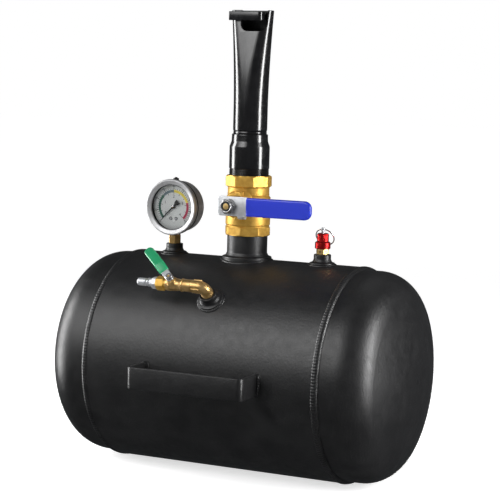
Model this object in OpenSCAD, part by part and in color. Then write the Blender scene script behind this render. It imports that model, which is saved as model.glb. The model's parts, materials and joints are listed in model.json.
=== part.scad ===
// Portable tyre bead seater: a small air tank with a quick-dump ball valve and a flattened blast barrel.
// Millimetres, +Z up. The origin is on the floor under the middle of the tank, and the carry handle,
// the gauge face and both levers face the front, which is -Y.

/* [Tank] */
// Outside diameter of the shell
tank_od = 254; // [220:1:310]
// Length of the cylindrical shell
shell_len = 294; // [244:1:420]
// Wall of the shell
shell_wall = 3; // [2:0.5:5]
// Wall of the two pressed heads
head_wall = 3; // [2:0.5:5]
// Straight skirt of a head that shows outside the shell
head_skirt = 21; // [12:1:40]
// Length of the skirt that is pushed into the shell
head_insert = 12; // [8:1:20]
// Depth of the dome past its skirt
head_depth = 57; // [50:1:75]
// Outside radius of the knuckle between skirt and crown
knuckle_r = 42; // [25:1:46]
// How far the seam welds stand proud of the shell
seam_proud = 1.3; // [0.5:0.1:3]
// Radius of the seam weld's rounded section
seam_r = 5; // [4:0.5:7]

/* [Ports] */
// Distance from the outlet to the gauge port and to the relief port
port_spacing = 99; // [80:1:140]
// Outside diameter of the outlet stub
outlet_od = 48.3; // [42:0.1:60]
// Bore of the outlet stub
outlet_bore = 38; // [30:0.5:40]
// Height of the outlet stub above the tank, up to the valve
outlet_rise = 28.7; // [20:0.1:50]
// Diameter of the outlet stub's flared foot
outlet_foot_od = 59.4; // [54:0.1:80]
// Outside diameter of a small bung
bung_od = 20.4; // [18:0.1:30]
// Bore of a small bung
bung_bore = 13.2; // [10:0.1:14]
// Height of a small bung above the tank
bung_rise = 12; // [9:0.5:20]
// Diameter of a small bung's foot
bung_foot_od = 30; // [26:0.5:40]
// Width of the weld fillet round a port
port_weld = 1.8; // [1:0.1:3]

/* [Carry handle] */
// Width of the handle over its legs
handle_w = 147; // [120:1:200]
// Offset of the handle's middle from the tank's middle
handle_x = 6; // [-20:1:20]
// Height of the flat bar
handle_bar_h = 25; // [20:1:40]
// Thickness of the flat bar
handle_bar_t = 4; // [3:0.5:8]
// Distance from the tank to the front face of the handle
handle_reach = 41; // [34:1:60]
// Outside radius of the handle's two bends
handle_bend_r = 7; // [5:0.5:12]

/* [Main valve] */
// Ball diameter
ball_od = 44; // [36:0.5:44]
// Bore of the ball
ball_bore = 30; // [20:0.5:31]
// Outside diameter of the valve body
valve_od = 53.4; // [53:0.1:60]
// Width across flats of the two octagons
valve_flats = 52; // [52:0.1:60]
// Height of the lower octagon
lower_octagon_h = 10.8; // [8:0.1:14]
// Height of the upper octagon
upper_octagon_h = 13.8; // [10:0.1:20]
// Rotation of the lower octagon
lower_octagon_turn = 9; // [0:1:45]
// Rotation of the upper octagon
upper_octagon_turn = 36; // [0:1:45]
// Stem diameter in the packing
stem_d = 12; // [10:0.5:13]
// Thread diameter at the end of the stem
stem_thread_d = 9; // [6:0.5:9]
// Distance from the valve's axis to the back of the lever plate
lever_stand = 47.5; // [47:0.5:60]
// Thickness of the lever plate
lever_t = 3; // [2:0.5:4]
// Height of the lever plate at the stem
lever_plate_h = 23; // [22:1:30]
// Reach of the lever's sleeve past the stem
lever_reach = 105; // [80:1:160]
// Distance from the stem to the sleeve
sleeve_start = 22; // [21:1:40]
// Height of the sleeve
sleeve_h = 22; // [20:1:30]
// Thickness of the sleeve
sleeve_t = 7; // [6:0.5:12]
// Width across flats of the lever nut
lever_nut_flats = 17; // [15:0.5:19]

/* [Barrel] */
// Outside diameter of the barrel's pipe fitting
adapter_od = 48.3; // [42:0.1:60]
// Height of the male thread that shows above the valve
adapter_thread_h = 7.4; // [2:0.1:12]
// Height of the fitting above its thread
adapter_h = 42; // [30:0.5:60]
// Outside diameter of the barrel tube where it is round
barrel_od = 40.8; // [36:0.1:42]
// Wall of the barrel tube
barrel_wall = 2.2; // [1.5:0.1:3]
// Length of the barrel tube
barrel_len = 143; // [110:1:240]
// Length of the round part below the taper
barrel_round_len = 27; // [10:1:60]
// Thickness of the flattened mouth
mouth_t = 19; // [14:0.5:30]
// Width of the notch in the mouth's front wall
notch_w = 33; // [20:1:34]
// Depth of the notch
notch_depth = 25; // [18:1:40]
// Height of the rim hook's bar
hook_h = 10.5; // [6:0.5:14]
// Thickness of the rim hook's bar
hook_t = 3.5; // [2:0.5:5]

/* [Gauge] */
// Diameter of the gauge's bezel
bezel_od = 68.6; // [66:0.1:80]
// Diameter of the bezel's window
window_d = 55; // [50:0.5:56]
// Diameter of the gauge's case
case_od = 62; // [61:0.5:64]
// Height of the gauge's middle above the tank
gauge_rise = 56.6; // [54:0.1:80]
// Depth of the case behind the socket's axis
case_back = 17; // [15:0.5:25]
// Depth of the bezel's front before the socket's axis
bezel_front = 13; // [12.5:0.5:16]

/* [Relief valve] */
// Width across flats of the relief valve's hexagon
relief_flats = 14; // [13:0.5:17]
// Diameter of the red cap's lower part
relief_cap_od = 18.4; // [17:0.1:22]
// Diameter of the red cap's upper part
relief_cap_top_od = 13.9; // [13:0.1:16]
// Height of the red cap
relief_cap_h = 18.2; // [17:0.1:26]
// Outside diameter of the pull ring
pull_ring_od = 24; // [24:0.5:30]
// Wire diameter of the pull ring
pull_ring_wire = 1.4; // [1:0.1:1.6]

/* [Inlet valve] */
// Angle of the inlet above the horizontal, at the front
inlet_angle = 43; // [30:1:60]
// Offset of the inlet from the tank's middle
inlet_x = 1; // [-30:1:30]
// Distance from the tank to the axis of the inlet run
inlet_rise = 25; // [22:0.5:40]
// Distance from the inlet to the stem of its valve
inlet_stem_x = 40; // [36:0.5:60]
// Diameter of the small ball
inlet_ball_od = 11; // [9:0.5:11]
// Diameter of the inlet valve's body
inlet_valve_od = 15.6; // [15:0.1:20]
// Width across flats of the inlet valve's hexagon
inlet_flats = 15; // [15:0.5:20]
// Reach of the small lever
inlet_lever_reach = 55; // [35:1:80]
// Width of the small lever's sleeve
inlet_sleeve_w = 12; // [9:0.5:16]
// Angle of the small lever from its open position
inlet_lever_angle = 40; // [0:1:90]
// Diameter of the air plug's nose
plug_nose_d = 9.4; // [8:0.1:10]
// Length of the air plug's nose
plug_nose_len = 11; // [8:0.5:14]

/* [Hidden] */

// Segments of round shapes; true circles in the exact model
$fn = 96;
fine = 48;
// Overlap that cuts run past a face
cut = 1;

// Clearances
shaft_gap = 0.05;
face_gap = 0.3;
ball_gap = 0.3;
cavity_gap = 0.6;

// Tank
tank_r = tank_od / 2;
axis_z = tank_r + seam_proud;
tank_top = axis_z + tank_r;
head_r = tank_r - shell_wall;
crown_r = (pow(head_r - knuckle_r, 2) + pow(head_depth, 2) - pow(knuckle_r, 2)) / (2 * (head_depth -
    knuckle_r));
seam_centre_r = tank_r + seam_proud - seam_r;
seam_offset = 1;

// Ports
outlet_foot_h = 7;
outlet_foot_rim = 3;
outlet_insert = 14;
bung_foot_h = 4.5;
bung_foot_rim = 2.2;
gauge_x = -port_spacing;
relief_x = port_spacing;

// Handle welds
handle_weld_h = 3;
handle_weld_share = 0.8;

// Main valve, heights above the tank
valve_body_h = 47.5;
cap_round_h = 10.2;
cap_round_r = 25.15;
valve_joint_z = tank_top + outlet_rise + valve_body_h;
valve_top_z = valve_joint_z + cap_round_h + upper_octagon_h;
ball_r = ball_od / 2;
ball_z = tank_top + outlet_rise + 37.3;
cavity_r = ball_r + cavity_gap;
seat_r = ball_r - 1.5;
flow_r = ball_bore / 2 + 0.5;
seat_near = 10;
seat_far = 20;
spigot_r = cavity_r + 1.4;
adapter_insert = 9.7;
groove = 1.2;
stem_r = stem_d / 2;
spigot_len = valve_joint_z - ball_z - stem_r - 2 * shaft_gap;
stem_slot_t = 5;
stem_slot_w = 14;
stem_slot_depth = 5;
boss_r = 14.5;
boss_len = 38;
packing_r = 9;
packing_len = 5;
packing_start = 31;
gland_flats = 19;
gland_h = 8;
stem_flats = 9;
lever_nut_h = 9;
lever_tail = 14.6;
lever_corner_r = 3.5;
blade_h = 17;
blade_end_gap = 4;
sleeve_end_r = 8;
sleeve_corner_r = 3;
tab_x = 11;
tab_len = 8;
tab_t = 3.5;
tab_depth = 8;
lug_start = 34;
lug_end = 45;
lug_w = 6;
lug_overlap = 0.5;
lug_inner = 11;
lug_outer = 16.5;

// Barrel
adapter_z = valve_top_z;
adapter_r = adapter_od / 2;
adapter_bore_r = 17;
adapter_shoulder_r = adapter_r - 0.15;
adapter_neck_r = 21.6;
adapter_straight_h = 21.5;
adapter_taper_h = 5.5;
thread_ring_pitch = 2.3;
thread_ring_start = 0.7;
thread_ring_depth = 0.9;
barrel_weld_h = 2.9;
barrel_z = adapter_z + adapter_thread_h + adapter_h + barrel_weld_h;
barrel_weld_r = barrel_od / 2 + 0.5;
ring_points = 36;
taper_steps = 6;
taper_power = 1.7;
notch_x = 6.5;
notch_r = 9;
hook_left = -24;
hook_right = 18.5;
hook_below_top = 1.8;
hook_corner_r = 3;
hook_stand = 0.4;
mouth_r = mouth_t / 2;
hook_bar_bottom = barrel_len - hook_below_top - hook_h;

// Gauge
gauge_z = tank_top + gauge_rise;
case_r = case_od / 2;
case_wall = 1.5;
bezel_r = bezel_od / 2;
bezel_back = 4;
bezel_lip = 1.5;
bezel_edge_r = 3;
lens_t = 2.5;
lens_front = bezel_front - bezel_lip;
gasket_t = 1.2;
gasket_w = 2.4;
dial_front = 5;
dial_t = 0.8;
dial_r = 28;
dial_screw_at = [-3.5, 3.8];
dial_screw_y = -14.2;
dial_screw_r = 1.5;
dial_screw_head_h = 0.7;
needle_z = 6.6;
needle_t = 0.6;
needle_len = 20.5;
needle_tail = 8.5;
needle_zero_angle = 225;
hub_r = 2.6;
hub_back = 0.6;
hub_h = 2;
arbor_r = 0.7;
socket_flats = 14;
socket_neck_r = 3.9;
socket_hex_top = gauge_rise - bezel_r - face_gap;
socket_block = [12, 8.4];
socket_block_lift = 1;
socket_block_back = -9.5;
socket_insert = 9;
socket_bore_r = 1.5;
fill_plug_r = 3.6;
fill_plug_h = 4;
fill_plug_neck_r = 2.8;
plate_t = 1;
plate_back_z = -8;
plate_front_z = 0.8;
plate_w = 14;
plate_top = 6.5;
back_plate_bottom = -18.4;
front_plate_bottom = -26;
pillars = [[-5.5, 4.5], [5.5, 4.5], [-5.4, -16.8], [5.8, -9.2]];
pillar_r = 1.1;
gear_z = -4;
gear_t = 1.6;
gear_module = 0.36;
pinion_teeth = 8;
sector_teeth = 80;
gear_play = 0.14;
gear_dedendum = 1.2;
gear_addendum = 0.8;
gear_root_share = 1.25;
gear_tip_share = 0.42;
gear_root_sink = 0.96;
gear_side_gap = 0.2;
pinion_pitch_r = gear_module * pinion_teeth / 2;
sector_pitch_r = gear_module * sector_teeth / 2;
sector_pivot = [0, -(pinion_pitch_r + sector_pitch_r)];
sector_count = 10;
sector_teeth_below = 7;
sector_rim = 2.2;
sector_arm_w = 2.2;
sector_tail = 5;
sector_tail_angle = -20;
sector_pin_r = 0.9;
sector_boss_r = 2.2;
link_w = 1.6;
link_eye_r = 2;
link_end_r = 1.6;
link_hole_r = 0.8;
link_z = -6.2;
link_t = 0.8;
link_len = 17.5;
link_angle = 46;
tube_mid_r = 21.5;
tube_w = 2.6;
tube_depth = 8;
tube_z = -9;
tube_start = 262;
tube_sweep = 262;
tube_wall = 0.4;
tube_cap_angle = 4;

// Relief valve, heights above the tank
relief_hex_h = 6.7;
relief_cap_low_h = 8.2;
relief_cap_wall = 1.3;
relief_skirt_r = 7.4;
relief_bore_r = 2.5;
relief_disc_r = 4.9;
relief_disc_h = 1.6;
relief_stem_r = 2.2;
relief_stem_top = bung_rise + relief_hex_h + relief_cap_h + 6.6;
relief_vent_r = 0.9;
relief_seal_h = 0.8;
relief_seat = bung_rise + 1.6;
relief_insert = 9;
relief_neck_h = 6;
relief_chamber_r = 5.4;
spring_r = 3.9;
spring_wire = 1;
spring_turns = 5;
spring_sides = 8;
spring_steps = 14;
ring_eye_r = pull_ring_wire / 2 + face_gap + 0.1;
ring_eye_z = relief_stem_top - 2.1;
ring_mid_r = (pull_ring_od - pull_ring_wire) / 2;
ring_rest_tilt = 33;

// Inlet valve
inlet_pipe_r = tank_r + inlet_rise;
inlet_ball_r = inlet_ball_od / 2;
inlet_valve_r = inlet_valve_od / 2;
inlet_body_front = inlet_stem_x - 14;
inlet_body_back = inlet_stem_x + 8;
inlet_end_back = inlet_stem_x + 20.5;
inlet_flow_r = 3.2;
inlet_seat_r = 5;
inlet_seat_near = 3;
inlet_seat_far = 5.7;
inlet_cavity_r = inlet_ball_r + cavity_gap;
inlet_rim_rise = 0.5;
inlet_end_wall = 0.9;
inlet_bore_step = 0.2;
inlet_rim_w = 2;
inlet_leg_r = 6.9;
inlet_leg_insert = 5;
inlet_thread_r = 5;
inlet_thread_len = 6;
inlet_boss_r = 5.2;
inlet_boss_h = 9;
inlet_stem_r = 2.4;
inlet_gland_flats = 9;
inlet_gland_h = 2;
inlet_lever_stand = 11.6;
inlet_lever_t = 1.6;
inlet_lever_w = 9;
inlet_nut_flats = 8;
inlet_nut_h = 3.4;
inlet_crank_start = 14;
inlet_crank_end = 24;
inlet_crank_rise = 4;
inlet_sleeve_start = 13;
inlet_sleeve_t = 4.4;
inlet_stem_thread_r = 1.5;
inlet_slot_t = 2;
inlet_square_w = 3.2;
inlet_blade_gap = 3;
plug_hex_flats = 13;
plug_hex_h = 5.6;
plug_collar_r = 5.3;
plug_collar_h = 6.3;
plug_groove_r = 3.4;
plug_groove_h = 2.5;
plug_bore_r = 2.6;
plug_chamfer = 0.8;

// ---- Shared shapes ----

// A flat slab with true round corners, centred in x and y and standing on z = 0
module round_slab(w, h, t, r) {
    linear_extrude(t) union() {
        square([w - 2 * r, h], center = true);
        square([w, h - 2 * r], center = true);
        for (sx = [-1, 1], sy = [-1, 1]) translate([sx * (w / 2 - r), sy * (h / 2 - r)]) circle(r);
    }
}

// A prism with so many flats, standing on z = 0
module flats_prism(flats, h, sides) {
    cylinder(h = h, r = flats / 2 / cos(180 / sides), $fn = sides);
}

// A tube standing on z = 0
module tube(outer_r, inner_r, h) {
    difference() {
        cylinder(h = h, r = outer_r);
        translate([0, 0, -cut]) cylinder(h = h + 2 * cut, r = inner_r);
    }
}

// The full cylinder of the tank's outside, or grown by some millimetres
module tank_round(grow = 0) {
    translate([0, 0, axis_z]) rotate([0, 90, 0]) cylinder(h = shell_len, r = tank_r + grow, center = true);
}

// Frames: local z is the direction that each stem or face points to
module at_outlet() { translate([0, 0, tank_top]) children(); }
module at_gauge_port() { translate([gauge_x, 0, tank_top]) children(); }
module at_relief_port() { translate([relief_x, 0, tank_top]) children(); }
module at_inlet() {
    translate([inlet_x, 0, axis_z]) rotate([90 - inlet_angle, 0, 0]) children();
}
module at_main_stem() { translate([0, 0, ball_z]) rotate([90, 0, 0]) children(); }
module at_gauge() { translate([gauge_x, 0, gauge_z]) rotate([90, 0, 0]) children(); }
module at_inlet_stem() { at_inlet() translate([-inlet_stem_x, 0, inlet_pipe_r]) children(); }
module at_inlet_run(x) { at_inlet() translate([-x, 0, inlet_pipe_r]) rotate([0, -90, 0]) children(); }

// ---- Tank ----

// Outline of a domed head that is shrunk by some millimetres: radius in x, length in y
module head_outline(shrink) {
    centre_y = head_depth - crown_r;
    reach = 2 * crown_r;
    lean = atan2(head_r - knuckle_r, -centre_y);
    translate([0, -head_skirt - head_insert]) square([head_r - shrink, head_skirt + head_insert]);
    intersection() {
        translate([head_r - knuckle_r, 0]) circle(knuckle_r - shrink);
        square([head_r, head_depth]);
    }
    intersection() {
        translate([0, centre_y]) circle(crown_r - shrink, $fn = 2 * $fn);
        translate([0, centre_y]) polygon([[0, 0], [reach * tan(lean), reach], [0, reach]]);
        square([head_r, head_depth]);
    }
}

module head_solid(shrink) {
    rotate([0, 90, 0]) rotate_extrude() head_outline(shrink);
}

module right_head() {
    color("#1c1c1e") translate([shell_len / 2 + head_skirt, 0, axis_z]) difference() {
        head_solid(0);
        head_solid(head_wall);
        translate([-head_skirt - head_insert, 0, 0]) rotate([0, 90, 0])
            cylinder(h = 2 * cut, r = head_r - head_wall, center = true);
    }
}

module left_head() { mirror([1, 0, 0]) right_head(); }

module right_head_weld() {
    color("#242426") translate([shell_len / 2, 0, axis_z]) rotate([0, 90, 0]) rotate_extrude()
        difference() {
        translate([seam_centre_r, seam_offset]) circle(seam_r, $fn = fine);
        translate([0, -2 * seam_r]) square([tank_r, 2 * seam_r]);
        square([head_r, 2 * seam_r]);
    }
}

module left_head_weld() { mirror([1, 0, 0]) right_head_weld(); }

module tank_shell() {
    color("#1a1a1c") difference() {
        tank_round();
        tank_round_inside();
        translate([0, 0, axis_z]) cylinder(h = tank_od, r = outlet_bore / 2);
        for (x = [gauge_x, relief_x]) translate([x, 0, axis_z]) cylinder(h = tank_od, r = bung_bore / 2);
        at_inlet() cylinder(h = tank_od, r = bung_bore / 2);
    }
}

module tank_round_inside() {
    translate([0, 0, axis_z]) rotate([0, 90, 0])
        cylinder(h = shell_len + 2 * cut, r = head_r, center = true);
}

// A weld-on bung: a stub on a flared foot, cut to the tank's curve; z = 0 is the top of the tank
module bung(stub_r, foot_r, bore_r, rise, foot_h, rim_h) {
    depth = tank_r - sqrt(pow(tank_r, 2) - pow(foot_r, 2)) + cut;
    flare = min(foot_h - rim_h, foot_r - stub_r);
    rotate_extrude() difference() {
        union() {
            translate([0, -depth]) square([stub_r, rise + depth]);
            translate([0, -depth]) square([foot_r - rim_h / 2, depth + rim_h]);
            translate([0, -depth]) square([foot_r, depth + rim_h / 2]);
            translate([foot_r - rim_h / 2, rim_h / 2]) circle(rim_h / 2, $fn = fine);
            difference() {
                translate([0, rim_h - cut]) square([stub_r + flare, flare + cut]);
                translate([stub_r + flare, rim_h + flare]) circle(flare, $fn = fine);
            }
        }
        translate([0, -depth - cut]) square([bore_r, rise + depth + 2 * cut]);
    }
}

module outlet_port() {
    color("#1e1e20") difference() {
        at_outlet() bung(outlet_od / 2, outlet_foot_od / 2, outlet_bore / 2,
                         outlet_rise + outlet_insert, outlet_foot_h, outlet_foot_rim);
        tank_round();
    }
}

module small_bung() {
    bung(bung_od / 2, bung_foot_od / 2, bung_bore / 2, bung_rise, bung_foot_h, bung_foot_rim);
}

module gauge_port() {
    color("#1e1e20") difference() {
        at_gauge_port() small_bung();
        tank_round();
    }
}

module relief_port() {
    color("#1e1e20") difference() {
        at_relief_port() small_bung();
        tank_round();
    }
}

module inlet_port() {
    color("#1e1e20") difference() {
        at_inlet() translate([0, 0, tank_r]) small_bung();
        tank_round();
    }
}

// A weld fillet that follows the tank's curve round a foot; z = 0 is the tank's axis
module foot_weld(foot_r) {
    difference() {
        intersection() {
            cylinder(h = tank_od, r = foot_r + port_weld);
            rotate([0, 90, 0]) tube_between(tank_r, tank_r + port_weld);
        }
        cylinder(h = tank_od, r = foot_r);
    }
}

module tube_between(inner_r, outer_r) {
    difference() {
        cylinder(h = shell_len, r = outer_r, center = true);
        cylinder(h = shell_len + 2 * cut, r = inner_r, center = true);
    }
}

module port_welds() {
    color("#242426") {
        translate([0, 0, axis_z]) foot_weld(outlet_foot_od / 2);
        translate([gauge_x, 0, axis_z]) foot_weld(bung_foot_od / 2);
        translate([relief_x, 0, axis_z]) foot_weld(bung_foot_od / 2);
        at_inlet() foot_weld(bung_foot_od / 2);
    }
}

// ---- Carry handle ----

// Plan of the handle's outside or inside edge, from the tank's axis to the front
module handle_plan(shrink) {
    w = handle_w - 2 * shrink;
    front = tank_r + handle_reach - shrink;
    r = handle_bend_r - shrink;
    translate([-w / 2, -front + r]) square([w, front - r]);
    translate([-w / 2 + r, -front]) square([w - 2 * r, r + cut]);
    for (s = [-1, 1]) translate([s * (w / 2 - r), -front + r]) circle(r, $fn = fine);
}

module carry_handle() {
    color("#1c1c1e") difference() {
        translate([handle_x, 0, axis_z - handle_bar_h / 2]) linear_extrude(handle_bar_h) difference() {
            handle_plan(0);
            handle_plan(handle_bar_t);
        }
        tank_round();
    }
}

// Weld runs on the outer side of each leg and above and below it
module handle_welds() {
    weld = handle_weld_h;
    run_h = handle_bar_h * handle_weld_share;
    color("#242426") difference() {
        intersection() {
            for (s = [-1, 1]) translate([handle_x + s * (handle_w / 2 - handle_bar_t / 2), 0, axis_z])
                union() {
                translate([-handle_bar_t / 2 - weld, -tank_r - weld, -run_h / 2])
                    cube([handle_bar_t + 2 * weld, tank_r, run_h]);
            }
            translate([0, 0, axis_z]) rotate([0, 90, 0]) tube_between(tank_r, tank_r + weld);
            translate([-shell_len / 2, -tank_od, axis_z - run_h / 2]) cube([shell_len, tank_od, run_h]);
        }
        for (s = [-1, 1]) translate([handle_x + s * (handle_w / 2 - handle_bar_t / 2), 0, axis_z])
            cube([handle_bar_t, 2 * tank_od, handle_bar_h], center = true);
    }
}

// ---- Main valve ----

module valve_body() {
    base_z = tank_top + outlet_rise;
    color("#c9a13c") difference() {
        union() {
            translate([0, 0, base_z]) rotate([0, 0, lower_octagon_turn])
                flats_prism(valve_flats, lower_octagon_h, 8);
            translate([0, 0, base_z + lower_octagon_h / 2])
                cylinder(h = valve_body_h - lower_octagon_h / 2 - groove, r = valve_od / 2);
            translate([0, 0, base_z + valve_body_h - groove])
                cylinder(h = groove, r1 = valve_od / 2, r2 = valve_od / 2 - groove);
            at_main_stem() cylinder(h = boss_len, r = boss_r);
            at_main_stem() stop_lugs();
        }
        translate([0, 0, base_z - cut]) cylinder(h = outlet_insert + cut, r = outlet_od / 2);
        translate([0, 0, base_z]) cylinder(h = valve_body_h + cut, r = flow_r);
        translate([0, 0, ball_z - seat_far]) cylinder(h = seat_far, r = seat_r);
        translate([0, 0, ball_z - seat_near]) cylinder(h = valve_body_h, r = cavity_r);
        translate([0, 0, ball_z]) sphere(cavity_r);
        translate([0, 0, valve_joint_z - spigot_len]) cylinder(h = spigot_len + cut, r = spigot_r);
        translate([0, 0, valve_joint_z]) cylinder(h = boss_r, r = cap_round_r + face_gap);
        at_main_stem() cylinder(h = boss_len + cut, r = stem_r + shaft_gap);
        at_main_stem() translate([0, 0, packing_start]) cylinder(h = boss_len, r = packing_r);
    }
}

// Two lugs on the boss that stop the lever's tab when shut and when open
module stop_lugs() {
    for (s = [-1, 1]) translate([tab_x - lug_overlap - lug_w, s > 0 ? lug_inner : -lug_outer, lug_start])
        cube([lug_w, lug_outer - lug_inner, lug_end - lug_start]);
}

module valve_end_cap() {
    color("#c9a13c") difference() {
        union() {
            translate([0, 0, valve_joint_z])
                cylinder(h = groove, r1 = cap_round_r - groove, r2 = cap_round_r);
            translate([0, 0, valve_joint_z + groove]) cylinder(h = cap_round_h, r = cap_round_r);
            translate([0, 0, valve_joint_z + cap_round_h]) rotate([0, 0, upper_octagon_turn])
                flats_prism(valve_flats, upper_octagon_h, 8);
            translate([0, 0, valve_joint_z - spigot_len]) cylinder(h = spigot_len + groove, r = spigot_r);
        }
        translate([0, 0, valve_joint_z - spigot_len - cut]) cylinder(h = valve_body_h, r = flow_r);
        translate([0, 0, ball_z]) cylinder(h = seat_far, r = seat_r);
        translate([0, 0, ball_z]) cylinder(h = seat_near, r = cavity_r);
        translate([0, 0, ball_z]) sphere(cavity_r);
        translate([0, 0, valve_top_z - adapter_insert]) cylinder(h = adapter_insert + cut, r = adapter_r);
    }
}

module valve_ball() {
    color("#c8ccd0") difference() {
        translate([0, 0, ball_z]) sphere(ball_r);
        translate([0, 0, ball_z]) rotate([0, 90, 0])
            cylinder(h = 2 * ball_od, r = ball_bore / 2, center = true);
        at_main_stem() translate([0, 0, ball_r - stem_slot_depth + ball_r / 2])
            cube([stem_slot_t, stem_slot_w, ball_r], center = true);
    }
}

// A soft ring that the ball seals on, below or above it
module seat_ring(side) {
    color("#f0eee6") translate([0, 0, ball_z]) difference() {
        mirror([0, 0, side < 0 ? 1 : 0]) translate([0, 0, seat_near])
            tube(seat_r, flow_r, seat_far - seat_near);
        sphere(ball_r + ball_gap);
    }
}

module lower_seat() { seat_ring(-1); }
module upper_seat() { seat_ring(1); }

module valve_stem() {
    tang_bottom = ball_r - stem_slot_depth;
    lever_top = lever_stand + lever_t;
    color("#c9a13c") at_main_stem() {
        intersection() {
            translate([-stem_slot_t / 2, -stem_slot_w / 2, tang_bottom])
                cube([stem_slot_t, stem_slot_w, stem_slot_depth + cut]);
            cylinder(h = lever_stand, r = stem_r);
        }
        translate([0, 0, ball_r + face_gap]) cylinder(h = lever_stand - ball_r - face_gap, r = stem_r);
        stem_end();
        translate([0, 0, lever_top - cut / 2]) cylinder(h = lever_nut_h + cut / 2, r = stem_thread_d / 2);
    }
}

// The stem's two flats, which turn with the lever
module stem_end() {
    translate([0, 0, lever_stand]) intersection() {
        cylinder(h = lever_t, r = stem_r);
        translate([0, 0, lever_t / 2]) cube([stem_flats, stem_d, lever_t], center = true);
    }
}

module stem_packing() {
    color("#f0eee6") at_main_stem() translate([0, 0, packing_start])
        tube(packing_r, stem_r + shaft_gap, packing_len);
}

module gland_nut() {
    gland_z = packing_start + packing_len;
    color("#b8912f") at_main_stem() difference() {
        union() {
            translate([0, 0, gland_z]) cylinder(h = boss_len - gland_z, r = packing_r);
            translate([0, 0, boss_len]) flats_prism(gland_flats, gland_h, 6);
        }
        cylinder(h = 2 * boss_len, r = stem_r + shaft_gap);
    }
}

module valve_lever() {
    blade_len = lever_reach - blade_end_gap - sleeve_start + cut;
    plate_w = lever_tail + sleeve_start;
    color("#c4c7ca") at_main_stem() difference() {
        union() {
            translate([(sleeve_start - lever_tail) / 2, 0, lever_stand])
                round_slab(plate_w, lever_plate_h, lever_t, lever_corner_r);
            translate([sleeve_start - cut + blade_len / 2, 0, lever_stand])
                round_slab(blade_len, blade_h, lever_t, lever_corner_r);
            translate([tab_x, -lever_plate_h / 2 - tab_t, lever_stand + lever_t - tab_depth])
                cube([tab_len, tab_t, tab_depth]);
            translate([tab_x, -lever_plate_h / 2 - tab_t, lever_stand]) cube([tab_len, 2 * tab_t, lever_t]);
        }
        stem_end();
    }
}

module lever_sleeve() {
    blade_len = lever_reach - blade_end_gap - sleeve_start + cut;
    sleeve_len = lever_reach - sleeve_start;
    mid_z = lever_stand + lever_t / 2;
    color("#2338b4") at_main_stem() difference() {
        translate([0, 0, mid_z - sleeve_t / 2]) linear_extrude(sleeve_t) union() {
            translate([sleeve_start, -sleeve_h / 2 + sleeve_corner_r])
                square([sleeve_len - sleeve_end_r, sleeve_h - 2 * sleeve_corner_r]);
            translate([sleeve_start + sleeve_corner_r, -sleeve_h / 2])
                square([sleeve_len - sleeve_end_r - sleeve_corner_r, sleeve_h]);
            translate([lever_reach - sleeve_end_r - cut, -sleeve_h / 2 + sleeve_end_r])
                square([sleeve_end_r + cut, sleeve_h - 2 * sleeve_end_r]);
            for (s = [-1, 1]) {
                translate([sleeve_start + sleeve_corner_r, s * (sleeve_h / 2 - sleeve_corner_r)])
                    circle(sleeve_corner_r, $fn = fine);
                translate([lever_reach - sleeve_end_r, s * (sleeve_h / 2 - sleeve_end_r)])
                    circle(sleeve_end_r, $fn = fine);
            }
        }
        translate([sleeve_start - cut + blade_len / 2, 0, lever_stand])
            round_slab(blade_len, blade_h, lever_t, lever_corner_r);
    }
}

module lever_nut() {
    color("#9a9da1") at_main_stem() translate([0, 0, lever_stand + lever_t]) difference() {
        intersection() {
            flats_prism(lever_nut_flats, lever_nut_h, 6);
            cylinder(h = lever_nut_h, r1 = lever_nut_flats, r2 = lever_nut_flats / 2);
        }
        translate([0, 0, -cut]) cylinder(h = lever_nut_h + 2 * cut, r = stem_thread_d / 2);
    }
}

// ---- Barrel ----

module barrel_adapter() {
    rings = floor(adapter_thread_h / thread_ring_pitch);
    color("#0d0d0f") translate([0, 0, adapter_z]) rotate_extrude() difference() {
        union() {
            translate([0, -adapter_insert]) square([adapter_r, adapter_insert + adapter_thread_h]);
            translate([0, adapter_thread_h]) square([adapter_shoulder_r, adapter_straight_h]);
            translate([0, adapter_thread_h + adapter_straight_h])
                polygon([[0, 0], [adapter_shoulder_r, 0], [adapter_neck_r, adapter_taper_h], [0,
                    adapter_taper_h]]);
            translate([0, adapter_thread_h + adapter_straight_h + adapter_taper_h])
                square([adapter_neck_r, adapter_h - adapter_straight_h - adapter_taper_h]);
        }
        translate([0, -adapter_insert - cut])
            square([adapter_bore_r, adapter_insert + adapter_thread_h + adapter_h + 2 * cut]);
        for (i = [0 : rings - 1]) translate([adapter_r, (i + thread_ring_start) * thread_ring_pitch])
            circle(thread_ring_depth, $fn = fine);
    }
}

module barrel_weld() {
    color("#141416") translate([0, 0, adapter_z + adapter_thread_h + adapter_h]) rotate_extrude()
        difference() {
        union() {
            square([barrel_weld_r - barrel_weld_h / 2, barrel_weld_h]);
            translate([barrel_weld_r - barrel_weld_h / 2, barrel_weld_h / 2])
                circle(barrel_weld_h / 2, $fn = fine);
        }
        square([barrel_od / 2 - barrel_wall, barrel_weld_h]);
    }
}

// Height of ring i, and the tube's thickness there: round below, flattened towards the mouth
function ring_rise(i) = i == 0 ? 0 : barrel_round_len + (barrel_len - barrel_round_len) * (i - 1) /
    taper_steps;
function ring_share(i) = i < 2 ? 0 : pow((i - 1) / taper_steps, taper_power);
function ring_t(i) = barrel_od - (barrel_od - mouth_t) * ring_share(i);
// Half the straight side that keeps the tube's circumference
function ring_flat(i) = PI * (barrel_od - ring_t(i)) / 4;
function ring_point(i, k, wall, z) =
    let (a = 360 * (k + 0.5) / ring_points, r = ring_t(i) / 2 - wall)
    [r * cos(a) + sign(cos(a)) * ring_flat(i), r * sin(a), z];

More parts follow.
